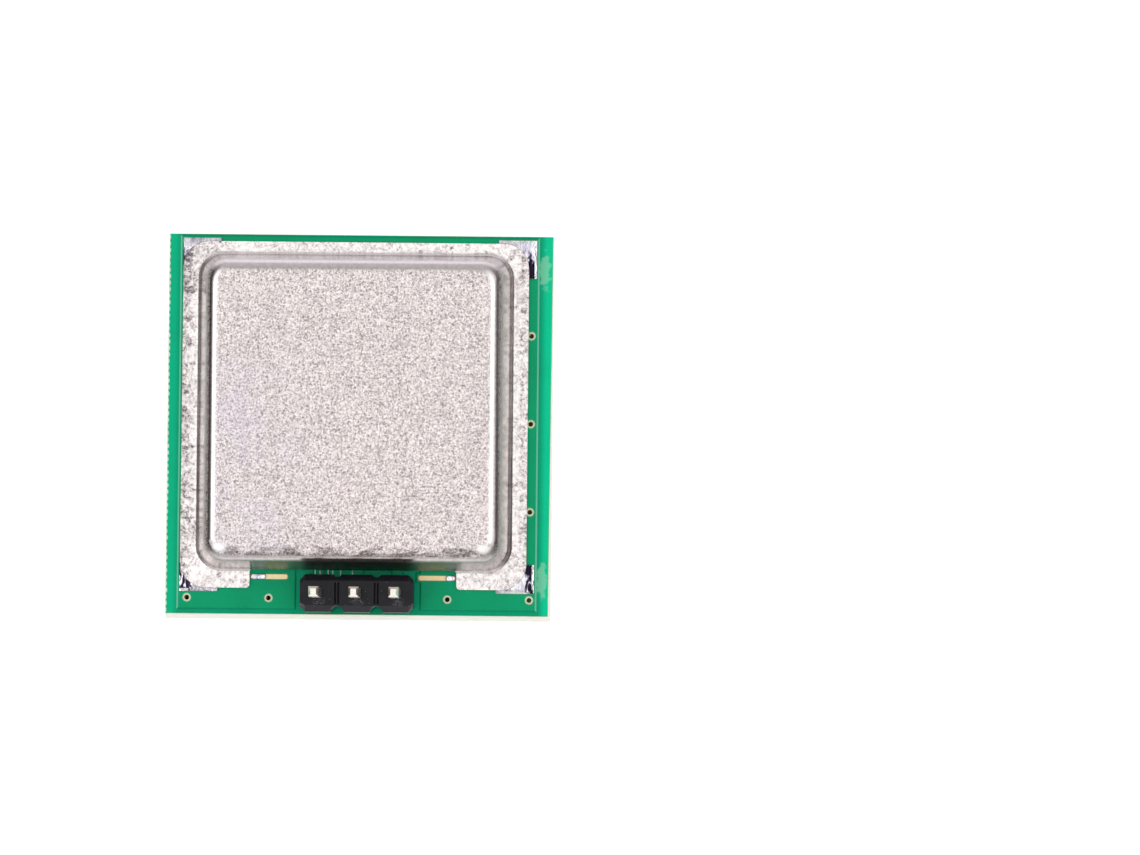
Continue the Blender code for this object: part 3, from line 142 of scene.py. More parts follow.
# Outlines: what counts as the same height, as no direction at all, and as the sharpest corner
SAME_HEIGHT = 0.002 * MM
SHORTEST_DIRECTION = 0.000001
SHARPEST_COSINE = 0.5

# Pieces whose roundings get an even shading, and the sharpest edge that counts as part of a rounding
ROUNDED_PIECES = ("shield_can", "shield_solder", "strip_solder", "pin_solder")
SMOOTH_ANGLE = radians(28)
MERGE_DISTANCE = 0.0005 * MM

FLOOR_HALF = 400 * MM
LIGHT_PLACE = (-0.2, -0.15, 0.35)
LIGHT_SIZE = 0.15
LIGHT_WATTS = 0.1

# The studio's brightness by height, as (direction's z, brightness): towards the sides, where bright panels
# hang high over a dark horizon, to the front and to the back
SIDE_STOPS = (
    (-0.1, 0.85),
    (0.1, 0.85),
    (0.18, 0.18),
    (0.4, 0.14),
    (0.56, 0.4),
    (0.67, 1.4),
    (0.98, 1.4),
    (0.995, 0.96),
    (1.0, 0.9),
)
FRONT_STOPS = (
    (-0.1, 0.85),
    (0.2, 0.85),
    (0.5, 0.8),
    (0.68, 0.62),
    (0.9, 0.66),
    (0.96, 0.8),
    (0.98, 0.88),
    (1.0, 0.9),
)
BACK_STOPS = (
    (-0.1, 0.85),
    (0.12, 0.85),
    (0.2, 0.76),
    (0.5, 0.76),
    (0.7, 0.72),
    (0.9, 0.76),
    (0.96, 0.82),
    (0.98, 0.86),
    (1.0, 0.9),
)
STUDIO_TINT = (1.0, 0.985, 0.98)


# Shader building


def srgb(red, green, blue):
    """A linear colour from one that a picture viewer shows as these 0-255 values."""

    def linear(value):
        value /= 255
        return value / 12.92 if value <= 0.04045 else ((value + 0.055) / 1.055) ** 2.4

    return (linear(red), linear(green), linear(blue), 1.0)


class Tree:
    """A node tree with short calls that add a node and give its result."""

    def __init__(self, tree):
        self.tree = tree

    def add(self, kind):
        return self.tree.nodes.new(kind)

    def feed(self, socket, value):
        if isinstance(value, bpy.types.NodeSocket):
            self.tree.links.new(value, socket)
        else:
            socket.default_value = value

    def math(self, operation, first, second=0.0):
        node = self.add("ShaderNodeMath")
        node.operation = operation
        self.feed(node.inputs[0], first)
        self.feed(node.inputs[1], second)
        return node.outputs[0]

    def times(self, first, second):
        return self.math("MULTIPLY", first, second)

    def over(self, first, second):
        return self.math("DIVIDE", first, second)

    def plus(self, first, second):
        return self.math("ADD", first, second)

    def minus(self, first, second):
        return self.math("SUBTRACT", first, second)

    def larger(self, first, second):
        return self.math("MAXIMUM", first, second)

    def magnitude(self, value):
        return self.math("ABSOLUTE", value)

    def sine(self, value):
        return self.math("SINE", value)

    def length(self, x, y):
        return self.math("SQRT", self.plus(self.times(x, x), self.times(y, y)))

    def mix(self, share, first, second):
        node = self.add("ShaderNodeMix")
        node.data_type = "RGBA"
        self.feed(node.inputs["Factor"], share)
        self.feed(node.inputs["A"], first)
        self.feed(node.inputs["B"], second)
        return node.outputs["Result"]

    def split(self, vector):
        node = self.add("ShaderNodeSeparateXYZ")
        self.feed(node.inputs[0], vector)
        return node.outputs["X"], node.outputs["Y"], node.outputs["Z"]

    def ramp(self, share, low, high, start=0.0, end=1.0, kind="LINEAR"):
        """The value carried from the range low..high to start..end, held at both ends."""
        node = self.add("ShaderNodeMapRange")
        node.interpolation_type = kind
        for socket, value in zip(node.inputs, (share, low, high, start, end)):
            self.feed(socket, value)
        return node.outputs[0]

    def soft_ramp(self, share, low, high, start=0.0, end=1.0):
        return self.ramp(share, low, high, start, end, "SMOOTHSTEP")

    def band(self, value, start, full, fade, end):
        """1 between full and fade, falling softly to 0 at start and at end."""
        return self.times(self.soft_ramp(value, start, full), self.soft_ramp(value, end, fade))

    def ridge(self, value, width):
        """1 where the value is 0.5, falling to 0 this far from it: thin winding lines in a noise."""
        return self.soft_ramp(self.magnitude(self.minus(value, 0.5)), 0.0, width, 1.0, 0.0)

    def stops(self, share, stops):
        """A colour ramp of (position, colour) stops."""
        node = self.add("ShaderNodeValToRGB")
        elements = node.color_ramp.elements
        while len(elements) < len(stops):
            elements.new(0.5)
        for element, (position, colour) in zip(elements, stops):
            element.position = position
            element.color = colour
        self.feed(node.inputs[0], share)
        return node.outputs["Color"]


class Shader(Tree):
    """A material, with short calls for its places, textures and bumps as well."""

    def __init__(self, name):
        self.material = bpy.data.materials.new(name)
        self.material.use_nodes = True
        super().__init__(self.material.node_tree)
        self.surface = self.tree.nodes["Principled BSDF"]
        self.place = self.add("ShaderNodeTexCoord").outputs["Object"]
        self.normal = self.add("ShaderNodeNewGeometry").outputs["Normal"]

    def set(self, **values):
        for name, value in values.items():
            self.feed(self.surface.inputs[name.replace("_", " ")], value)
        return self

    def stretched(self, x, y, z, offset=(0, 0, 0)):
        node = self.add("ShaderNodeMapping")
        self.feed(node.inputs["Vector"], self.place)
        node.inputs["Scale"].default_value = (x, y, z)
        node.inputs["Location"].default_value = offset
        return node.outputs[0]

    def noise(self, size, detail=2.0, roughness=0.5, place=None, distortion=0.0):
        """Noise from 0 to 1 whose blobs are about this many metres across."""
        node = self.add("ShaderNodeTexNoise")
        self.feed(node.inputs["Vector"], place or self.place)
        node.inputs["Scale"].default_value = 1 / size
        node.inputs["Detail"].default_value = detail
        node.inputs["Roughness"].default_value = roughness
        node.inputs["Distortion"].default_value = distortion
        return node.outputs["Fac"]

    def cells(self, size, feature="F1", place=None):
        node = self.add("ShaderNodeTexVoronoi")
        node.feature = feature
        self.feed(node.inputs["Vector"], place or self.place)
        node.inputs["Scale"].default_value = 1 / size
        return node.outputs["Distance"]

    def noisy_place(self, size, reach):
        """The object's coordinates, each moved by a noise of this size, up to this far."""
        node = self.add("ShaderNodeTexNoise")
        self.feed(node.inputs["Vector"], self.place)
        node.inputs["Scale"].default_value = 1 / size
        moved = self.add("ShaderNodeVectorMath")
        moved.operation = "MULTIPLY_ADD"
        for socket, value in zip(moved.inputs, (node.outputs["Color"], (reach, reach, reach), self.place)):
            self.feed(socket, value)
        return moved.outputs[0]

    def bump(self, height, strength, distance, under=None):
        node = self.add("ShaderNodeBump")
        node.inputs["Strength"].default_value = strength
        node.inputs["Distance"].default_value = distance
        self.feed(node.inputs["Height"], height)
        if under:
            self.feed(node.inputs["Normal"], under)
        return node.outputs[0]

    def blob(self, centre, radii, ragged=0.0, size=0.4 * MM, softness=0.2):
        """1 inside an ellipse on the board's plane, falling to 0 at its ragged edge. The centre and radii
        are millimetres."""
        x, y, _ = self.split(self.place)
        across = self.over(self.minus(x, centre[0] * MM), radii[0] * MM)
        along = self.over(self.minus(y, centre[1] * MM), radii[1] * MM)
        reach = self.length(across, along)
        if ragged:
            reach = self.plus(reach, self.ramp(self.noise(size, 3), 0.3, 0.7, -ragged, ragged))
        return self.soft_ramp(reach, 1 - softness, 1 + softness / 2, 1.0, 0.0)


def assign(material, *names):
    for name in names:
        slots = nodes[name].data.materials
        if slots:
            slots[0] = material
        else:
            slots.append(material)


# Materials


def glass_weave(shader):
    """The weave of the laminate's glass, from -1 to 1."""
    x, y, _ = shader.split(shader.place)
    warp = shader.sine(shader.times(x, 2 * pi / WEAVE_SIZE))
    weft = shader.sine(shader.times(y, 2 * pi / WEAVE_SIZE))
    return shader.times(warp, weft)


def laminate():
    """Bare glass-fibre laminate: cream resin over a fine weave, with fibres showing on the cut edges."""
    shader = Shader("laminate_cream")
    weave = glass_weave(shader)
    blotch = shader.noise(1.6 * MM, 4, 0.6)
    fibre = shader.noise(0.05 * MM, 3, 0.7, shader.stretched(0.12, 0.12, 1.0))
    face = shader.stops(
        shader.plus(shader.ramp(blotch, 0.3, 0.7, 0.1, 0.9), shader.times(weave, 0.09)),
        ((0.0, srgb(226, 228, 204)), (0.5, srgb(236, 239, 218)), (1.0, srgb(243, 245, 228))),
    )
    edge = shader.stops(
        fibre,
        ((0.25, srgb(236, 236, 218)), (0.5, srgb(250, 250, 238)), (0.8, srgb(255, 255, 252))),
    )
    _, _, up = shader.split(shader.normal)
    flat = shader.ramp(shader.magnitude(up), 0.9, 0.98)
    relief = shader.plus(shader.times(weave, 0.25), fibre)
    return shader.set(
        Base_Color=shader.mix(flat, edge, face),
        Roughness=shader.ramp(flat, 0, 1, 0.75, 0.42),
        Subsurface_Weight=0.15,
        Subsurface_Radius=(0.3 * MM, 0.3 * MM, 0.25 * MM),
        Normal=shader.bump(relief, 0.25, 0.01 * MM),
    ).material


def stepped(shader, toned, darker, painted_step_shading):
    """The colour, with painted shade on the slopes where the mask steps up, and painted light of its own on
    the side steps near the board's sides.
    """
    x, _, _ = shader.split(shader.place)
    across, along, up = shader.split(shader.normal)
    slope = shader.ramp(shader.magnitude(up), 0.8, 0.97, 1.0, 0.0)
    sideways = shader.times(slope, shader.ramp(shader.magnitude(across), 0.2, 0.4))
    endways = shader.times(slope, shader.ramp(shader.magnitude(along), 0.2, 0.4))
    outer = shader.times(sideways, shader.soft_ramp(shader.magnitude(x), 8.0 * MM, 9.0 * MM))
    # Painted shade on the slopes of the steps, and painted light on the side steps near the board's sides
    toned = shader.mix(shader.times(endways, 0.7), toned, darker)
    toned = shader.mix(shader.times(sideways, 0.8), toned, darker)
    return shader.mix(shader.times(outer, 0.9), toned, painted_step_shading)


def cracked(shader, toned, base, centre, radii):
    """The colour with a web of dark cracks inside an ellipse."""
    edges = shader.cells(0.7 * MM, "DISTANCE_TO_EDGE", shader.noisy_place(0.5 * MM, 0.35 * MM))
    web = shader.ramp(edges, 0.0, 0.07, 1.0, 0.0)
    web = shader.times(web, shader.blob(centre, radii, 0.3, 1.2 * MM, 0.5))
    return shader.mix(shader.times(web, 0.75), toned, shader.mix(0.8, base, (0, 0.02, 0.015, 1)))


def solder_mask(name, on_laminate, at_edge, on_copper, painted_step_shading, face_z, way, specks, cracks=()):
    """Glossy mask, brighter over bare laminate than over copper, with its own colours along the board's side
    edges, painted shade on the slopes of its steps and painted light on the side steps near the board's
    sides."""
    shader = Shader(name)
    x, _, z = shader.split(shader.place)
    height = shader.times(shader.minus(z, face_z), way)
    over_copper = shader.soft_ramp(height, 0.095 * MM, 0.14 * MM)
    cloud = shader.noise(2.5 * MM, 4, 0.6)
    grain = shader.noise(0.09 * MM, 3, 0.6)
    outer = shader.soft_ramp(shader.magnitude(x), 11.6 * MM, 12.15 * MM)
    outer = shader.times(outer, shader.ramp(x, -11.0 * MM, 11.0 * MM, 0.55, 1.0))
    base = shader.mix(over_copper, shader.mix(outer, on_laminate, at_edge), on_copper)
    lighter = shader.mix(0.5, base, at_edge)
    darker = shader.mix(0.5, base, BLACK)
    toned = shader.mix(shader.ramp(cloud, 0.5, 0.7, 0.0, 0.12), base, lighter)
    toned = shader.mix(shader.ramp(cloud, 0.3, 0.5, 0.2, 0.0), toned, darker)
    toned = shader.mix(shader.ramp(grain, 0.35, 0.75, 0.0, 0.12), toned, lighter)
    toned = stepped(shader, toned, darker, painted_step_shading)
    for centre, radii, colour, strength, softness in specks:
        inside = shader.blob(centre, radii, 0.35, softness=softness)
        toned = shader.mix(shader.times(inside, strength), toned, colour)
    for centre, radii in cracks:
        toned = cracked(shader, toned, base, centre, radii)
    relief = shader.plus(shader.times(glass_weave(shader), 0.3), shader.noise(0.25 * MM, 2))
    return shader.set(
        Base_Color=toned,
        Roughness=shader.ramp(grain, 0.3, 0.8, 0.2, 0.34),
        Specular_IOR_Level=0.08,
        Normal=shader.bump(relief, 0.18, 0.012 * MM),
    ).material


def component_mask():
    """The green of the component side, with flux beside the can and painted glints on the mask's small steps.
    """
    # Painted glints: near-white strokes along the mask's small steps, where light catches them
    flux, glint = srgb(150, 218, 184), srgb(226, 250, 234)
    upright, lying = (-2.78, -2.46, -1.94, -1.65, -1.13, -0.37), (-4.4, -4.0, 3.95)
    specks = (
        ((11.95, 10.15), (0.34, 1.2), flux, 0.5, 0.3),
        ((11.9, -9.95), (0.34, 1.25), flux, 0.5, 0.3),
        *(((x, -9.45), (0.035, 0.26), glint, 0.95, 0.3) for x in upright),
        *(((x, -9.0), (0.2, 0.03), glint, 0.9, 0.3) for x in lying),
    )
    return solder_mask(
        "mask_emerald",
        on_laminate=srgb(0, 156, 113),
        at_edge=srgb(4, 206, 152),
        on_copper=srgb(10, 160, 109),
        # A painted highlight on the side steps near the board's sides
        painted_step_shading=srgb(150, 232, 204),
        face_z=COMPONENT_FACE,
        way=1,
        specks=specks,
    )


def antenna_mask():
    """The blue-green of the antenna side, with dark spots where it covers vias, and wet flux and cracks by
    the header's joints."""
    hole, wet = srgb(18, 66, 52), srgb(24, 92, 72)
    column = [11.74 - 5.72 * index for index in range(5)]
    covered = [(-11.1, y) for y in column]
    covered += [(-5.8, column[-1]), (5.8, column[-1]), (0.0, column[0]), (0.0, 2.07)]
    covered += [(-0.565, 7.17), (-0.425, 6.55), (0.095, 6.9), (0.065, 6.04), (0.535, 5.85)]
    specks = (
        *((place, (0.15, 0.15), hole, 0.85, 0.4) for place in covered),
        ((-1.7, -9.45), (0.7, 0.16), wet, 0.7, 0.5),
        ((1.9, -9.35), (0.5, 0.14), wet, 0.7, 0.5),
        ((3.75, -10.6), (0.16, 0.8), wet, 0.6, 0.5),
    )
    return solder_mask(
        "mask_mint",
        on_laminate=srgb(106, 222, 188),
        at_edge=srgb(44, 208, 162),
        on_copper=srgb(84, 186, 152),
        # Painted shade on the side steps near the board's sides
        painted_step_shading=srgb(40, 122, 96),
        face_z=ANTENNA_FACE,
        way=-1,
        specks=specks,
        cracks=(MASK_CRACKS,),
    )


def gold():
    """Immersion gold over etched copper, which stays a little rough."""
    shader = Shader("gold_plating")
    cloud = shader.noise(1.1 * MM, 3, 0.6)
    grain = shader.noise(0.04 * MM, 4, 0.7)
    tone = shader.plus(shader.times(cloud, 0.6), shader.times(grain, 0.4))
    colour = shader.stops(
        tone,
        ((0.3, srgb(246, 218, 158)), (0.5, srgb(255, 236, 184)), (0.72, srgb(255, 247, 210))),
    )
    return shader.set(
        Base_Color=colour,
        Metallic=0.6,
        Roughness=shader.ramp(grain, 0.3, 0.7, 0.42, 0.6),
        Normal=shader.bump(grain, 0.35, 0.006 * MM),
    ).material


def etched_rim(name, dark, light):
    """A rim along the edge of a bare copper shape, in a grainy colour of its own."""
    shader = Shader(name)
    grain = shader.noise(0.06 * MM, 3, 0.6)
    colour = shader.stops(grain, ((0.3, dark), (0.7, light)))
    return shader.set(
        Base_Color=colour,
        Metallic=0.5,
        Roughness=shader.ramp(grain, 0.3, 0.7, 0.35, 0.6),
        Normal=shader.bump(grain, 0.3, 0.005 * MM),
    ).material


def orange_peel(shader, grain, fine_grain):
    """The wormy relief of the drawn sheet: fine worms, and threads that run up and across in patches."""
    worms = shader.ridge(shader.noise(0.2 * MM, 1, 0.5, distortion=0.5), 0.13)
    upright = shader.stretched(1.0, 0.32, 1.0)
    lying = shader.stretched(0.32, 1.0, 1.0, (3, 1, 0))
    threads_up = shader.ridge(shader.noise(0.19 * MM, 1, 0.5, upright, 0.4), 0.09)
    threads_across = shader.ridge(shader.noise(0.19 * MM, 1, 0.5, lying, 0.4), 0.09)
    threads = shader.larger(threads_up, shader.times(threads_across, 0.7))
    patches = shader.noise(1.1 * MM, 3, 0.6)
    peel = shader.plus(shader.ramp(grain, 0.36, 0.64, 0.0, 0.52), shader.times(worms, 0.25))
    peel = shader.minus(peel, shader.ramp(fine_grain, 0.3, 0.7, 0.0, 0.12))
    return shader.plus(peel, shader.times(threads, shader.ramp(patches, 0.35, 0.65, 0.18, 0.3)))


def can_top(shader, peel, grain):
    """The colour of the flat top: tinted lilac towards the left, with painted dark reflections in mottles and
    two painted glints along its front, and three scratches."""
    x, y, _ = shader.split(shader.place)
    colour = shader.stops(
        peel,
        (
            (0.02, srgb(138, 129, 131)),
            (0.3, srgb(196, 187, 187)),
            (0.5, srgb(228, 219, 217)),
            (0.8, srgb(253, 247, 245)),
        ),
    )
    lilac = shader.times(shader.soft_ramp(x, -1.0 * MM, -8.0 * MM), shader.soft_ramp(y, 8.0 * MM, 0.0))
    lilac = shader.times(lilac, shader.ramp(shader.noise(2.2 * MM, 2), 0.35, 0.65, 0.1, 0.6))
    colour = shader.mix(lilac, colour, shader.mix(0.3, colour, srgb(206, 196, 236)))
    mottles = shader.noise(0.6 * MM, 3, 0.6, shader.stretched(0.5, 1.0, 1.0))
    # Painted dark reflections, in mottles along the top's front edge
    painted_front_reflection = shader.soft_ramp(y, -7.8 * MM, -8.0 * MM)
    painted_front_reflection = shader.times(painted_front_reflection, shader.soft_ramp(mottles, 0.4, 0.54))
    painted_front_reflection = shader.times(painted_front_reflection, shader.ramp(grain, 0.35, 0.65, 0.85, 0.35))
    colour = shader.mix(painted_front_reflection, colour, srgb(84, 72, 70))
    # Painted glints at the top's front corners
    for centre in PAINTED_CAN_GLINTS:
        glint = shader.times(shader.blob(centre, (0.5, 0.34), 0.1, softness=0.7), 0.9)
        colour = shader.mix(glint, colour, WHITE)
    for centre, radii in CAN_SCRATCHES:
        scratch = shader.times(shader.blob(centre, radii, 0.5, 0.1 * MM), 0.65)
        colour = shader.mix(scratch, colour, srgb(118, 108, 108))
    return colour


def can_flange(shader):
    """The colour and the tone of the stained flange, darker at its back left corner and along its sides."""
    x, _, _ = shader.split(shader.place)
    stain = shader.noise(0.8 * MM, 4, 0.7, distortion=1.4)
    mottle = shader.noise(0.22 * MM, 3, 0.7, distortion=0.8)
    tone = shader.plus(shader.times(stain, 0.45), shader.times(mottle, 0.55))
    worn = shader.times(shader.blob(*WORN_FLANGE, 0.3), 0.045)
    worn = shader.plus(worn, shader.times(shader.soft_ramp(x, -10.6 * MM, -11.1 * MM), 0.01))
    tone = shader.minus(tone, worn)
    tone = shader.plus(tone, shader.ramp(x, -11.3 * MM, -10.6 * MM, -0.042, 0.018))
    tone = shader.plus(tone, shader.soft_ramp(x, 10.5 * MM, 10.3 * MM, -0.035, 0.0))
    colour = shader.stops(
        tone,
        (
            (0.35, srgb(104, 95, 100)),
            (0.41, srgb(172, 164, 165)),
            (0.47, srgb(220, 213, 212)),
            (0.58, srgb(255, 252, 250)),
        ),
    )
    return colour, tone


def can_wall(shader, side_share, front_wall, fine_grain):
    """The colour of the walls: painted shade towards the top, a painted lilac reflection behind, a painted
    dark reflection band on the side roundings under a painted white highlight, a painted reflection on the
    front wall, and painted dark reflections in the base fillets."""
    x, _, z = shader.split(shader.place)
    _, along, _ = shader.split(shader.normal)
    height = shader.minus(z, COMPONENT_FACE)
    depth = shader.minus(CAN_TOP, z)
    drawn = shader.noise(0.3 * MM, 3, 0.6, shader.stretched(1.0, 1.0, 0.3))
    colour = shader.stops(drawn, ((0.3, srgb(204, 197, 196)), (0.7, srgb(240, 234, 232))))
    # Painted shade: darker towards the top
    painted_upper_shade = shader.soft_ramp(height, 0.9 * MM, 2.3 * MM)
    colour = shader.mix(shader.times(painted_upper_shade, 0.4), colour, srgb(150, 142, 142))
    # Painted reflection: lilac on the walls that face the back
    behind = shader.soft_ramp(along, 0.1, 0.9)
    colour = shader.mix(shader.times(behind, 0.7), colour, srgb(222, 211, 220))
    # Painted dark reflection: a band on the side roundings
    leaned = shader.minus(depth, shader.soft_ramp(x, -1.0 * MM, 1.0 * MM, -0.03 * MM, 0.09 * MM))
    stretched = shader.soft_ramp(depth, 0.68 * MM, 0.3 * MM)
    stretched = shader.times(stretched, shader.soft_ramp(leaned, 0.22 * MM, 0.06 * MM, 1.0, 0.0))
    stretched = shader.times(stretched, side_share)
    stretched = shader.times(stretched, shader.ramp(fine_grain, 0.35, 0.62, 1.0, 0.5))
    colour = shader.mix(stretched, colour, srgb(72, 58, 58))
    # Painted highlight: white near the top of the side roundings
    highlight = shader.times(shader.soft_ramp(depth, 0.1 * MM, 0.05 * MM), side_share)
    colour = shader.mix(highlight, colour, WHITE)
    # Painted reflection of the header and the mask on the front wall
    colour = shader.mix(shader.times(front_wall, 0.6), colour, srgb(104, 106, 92))
    # Painted dark reflections: a line in the base fillets and a streak on the right, mostly on the sides
    foot = shader.band(height, 0.37 * MM, 0.43 * MM, 0.48 * MM, 0.58 * MM)
    streak = shader.band(height, 0.7 * MM, 0.84 * MM, 0.95 * MM, 1.12 * MM)
    streak = shader.times(streak, shader.soft_ramp(x, 0.0, 4.0 * MM))
    cloud = shader.noise(3.0 * MM, 2, 0.5)
    painted_dark_reflections = shader.times(shader.plus(foot, streak), shader.ramp(cloud, 0.3, 0.6, 1.0, 0.6))
    painted_dark_reflections = shader.times(painted_dark_reflections, shader.plus(shader.times(side_share, 0.75), 0.08))
    return shader.mix(painted_dark_reflections, colour, srgb(58, 46, 44))


def can_roughness(shader, grain, shares):
    """The walls' fine roughness, with what each of the other places adds, as (share, how much rougher)."""
    _, _, z = shader.split(shader.place)
    across, along, _ = shader.split(shader.normal)
    height = shader.minus(z, COMPONENT_FACE)
    depth = shader.minus(CAN_TOP, z)
    wall = shader.soft_ramp(height, 0.55 * MM, 0.8 * MM)
    wall = shader.times(wall, shader.soft_ramp(depth, 0.6 * MM, 0.8 * MM))
    shoulder = shader.band(depth, 0.25 * MM, 0.45 * MM, 0.65 * MM, 0.9 * MM)
    corner = shader.times(shader.magnitude(across), shader.magnitude(along))
    corner = shader.soft_ramp(corner, 0.02, 0.25)
    corner = shader.times(corner, shader.soft_ramp(depth, 0.8 * MM, 0.5 * MM))
    rounded = shader.larger(shader.times(shoulder, 0.2), shader.times(corner, 0.25))
    roughness = shader.plus(shader.ramp(grain, 0.3, 0.7, 0.12, 0.24), rounded)
    for share, rougher in (*shares, (wall, 0.03)):
        roughness = shader.plus(roughness, shader.times(share, rougher))
    return roughness


def can_metal():
    """Tin-plated sheet: a wormy orange peel on the flat top, painted dark reflections and painted highlights
    on the side roundings, smooth walls, painted dark reflections in the base fillets and a stained flange."""
    shader = Shader("tin_plate")
    x, _, z = shader.split(shader.place)
    across, along, up = shader.split(shader.normal)
    sideways, endways, level = shader.magnitude(across), shader.magnitude(along), shader.magnitude(up)
    height = shader.minus(z, COMPONENT_FACE)
    depth = shader.minus(CAN_TOP, z)
    flat_share = shader.soft_ramp(depth, 0.04 * MM, 0.005 * MM)
    flat_share = shader.times(flat_share, shader.ramp(level, 0.96, 0.999))
    front_edge = shader.soft_ramp(depth, 0.17 * MM, 0.12 * MM)
    front_edge = shader.times(front_edge, shader.soft_ramp(along, -0.04, -0.12))
    top_share = shader.larger(flat_share, front_edge)
    flange_share = shader.soft_ramp(height, 0.52 * MM, 0.38 * MM)
    flange_share = shader.times(flange_share, shader.ramp(level, 0.8, 0.98))
    # side_share and front_wall pick where the walls get their painted highlight, dark reflections and front
    # reflection
    side_share = shader.soft_ramp(shader.minus(sideways, endways), -0.25, 0.35)
    front_wall = shader.soft_ramp(depth, 0.5 * MM, 0.8 * MM)
    front_wall = shader.times(front_wall, shader.soft_ramp(along, -0.75, -0.9))
    front_wall = shader.times(front_wall, shader.soft_ramp(shader.magnitude(x), 7.0 * MM, 6.6 * MM))

    grain = shader.noise(0.125 * MM, 2, 0.6, distortion=0.8)
    fine_grain = shader.noise(0.1 * MM, 2, 0.6)
    peel = orange_peel(shader, grain, fine_grain)
    wall_colour = can_wall(shader, side_share, front_wall, fine_grain)
    flange_colour, flange_tone = can_flange(shader)
    colour = shader.mix(top_share, wall_colour, can_top(shader, peel, grain))
    colour = shader.mix(flange_share, colour, flange_colour)

    roughness = can_roughness(shader, grain, ((top_share, 0.24), (flange_share, 0.16), (front_wall, 0.16)))
    top_relief = shader.times(shader.plus(shader.times(top_share, 0.85), 0.15), peel)
    peel_bump = shader.bump(top_relief, 0.7, 0.018 * MM)
    return shader.set(
        Base_Color=colour,
        Metallic=1.0,
        Roughness=roughness,
        Normal=shader.bump(shader.times(flange_share, flange_tone), 0.9, 0.06 * MM, peel_bump),
    ).material


def solder_metal():
    """Bright solder that set in folds, with painted reflections of light and dark places side by side in its
    colour. It is smoother behind the can, darker and more folded beside it, with painted white highlights
    along its outer rims and on its beads."""
    shader = Shader("solder_bright")
    x, y, z = shader.split(shader.place)
    folds = shader.noise(0.36 * MM, 2, 0.5, shader.stretched(1.0, 0.35, 1.0), 1.2)
    sheen = shader.noise(1.2 * MM, 2, 0.5)
    fine = shader.noise(0.08 * MM, 3, 0.6)
    beside = shader.soft_ramp(shader.magnitude(x), 10.75 * MM, 11.0 * MM)
    beside = shader.times(beside, shader.soft_ramp(y, 11.7 * MM, 11.2 * MM))
    tone = shader.times(folds, shader.ramp(beside, 0, 1, 0.5, 1.0))
    tone = shader.plus(tone, shader.ramp(beside, 0, 1, 0.34, -0.09))
    tone = shader.plus(tone, shader.ramp(sheen, 0.3, 0.7, -0.06, 0.06))
    # A darker patch on the back right joint
    dark_patch = shader.blob(*DARK_SOLDER_PATCH, 0.3, softness=0.4)
    tone = shader.minus(tone, shader.times(dark_patch, 0.22))
    # Painted highlights: white along the outer rims and on the beads
    front_rim = shader.soft_ramp(y, -10.48 * MM, -10.6 * MM)
    side_rim = shader.soft_ramp(x, 11.18 * MM, 11.3 * MM)
    side_rim = shader.times(side_rim, shader.soft_ramp(y, 11.9 * MM, 11.7 * MM))
    rim = shader.times(shader.larger(front_rim, side_rim), shader.soft_ramp(sheen, 0.36, 0.46))
    flat_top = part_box("shield_solder_back_left")[1][2]
    bead = shader.soft_ramp(z, flat_top + 0.004 * MM, flat_top + 0.02 * MM)
    tone = shader.larger(tone, shader.times(shader.larger(rim, bead), 0.68))
    # Painted reflections: the tone runs from near black to white
    colour = shader.stops(
        tone,
        (
            (0.4, srgb(34, 28, 44)),
            (0.47, srgb(112, 104, 126)),
            (0.54, srgb(206, 203, 218)),
            (0.7, srgb(252, 252, 255)),
        ),
    )
    lump = shader.plus(folds, shader.times(fine, 0.1))
    return shader.set(
        Base_Color=colour,
        Metallic=1.0,
        Roughness=shader.ramp(fine, 0.3, 0.7, 0.1, 0.22),
        Normal=shader.bump(lump, 0.9, 0.1 * MM),
    ).material


def pin_metal():
    """Tinned square wire, drawn lengthways, with a painted highlight: lighter where it faces up than on its
    sides.
    """
    shader = Shader("pin_tin")
    drawn = shader.noise(0.05 * MM, 2, 0.5, shader.stretched(1.0, 1.0, 0.04))
    _, _, up = shader.split(shader.normal)
    # Painted highlight: the faces that look up are lighter than the sides
    tip = shader.stops(drawn, ((0.3, srgb(246, 238, 228)), (0.7, srgb(255, 254, 250))))
    side = shader.stops(drawn, ((0.3, srgb(222, 214, 202)), (0.7, srgb(236, 229, 218))))
    return shader.set(
        Base_Color=shader.mix(shader.ramp(up, 0.3, 0.8), side, tip),
        Metallic=1.0,
        Roughness=shader.ramp(drawn, 0.3, 0.7, 0.16, 0.26),
        Normal=shader.bump(drawn, 0.05, 0.002 * MM),
    ).material


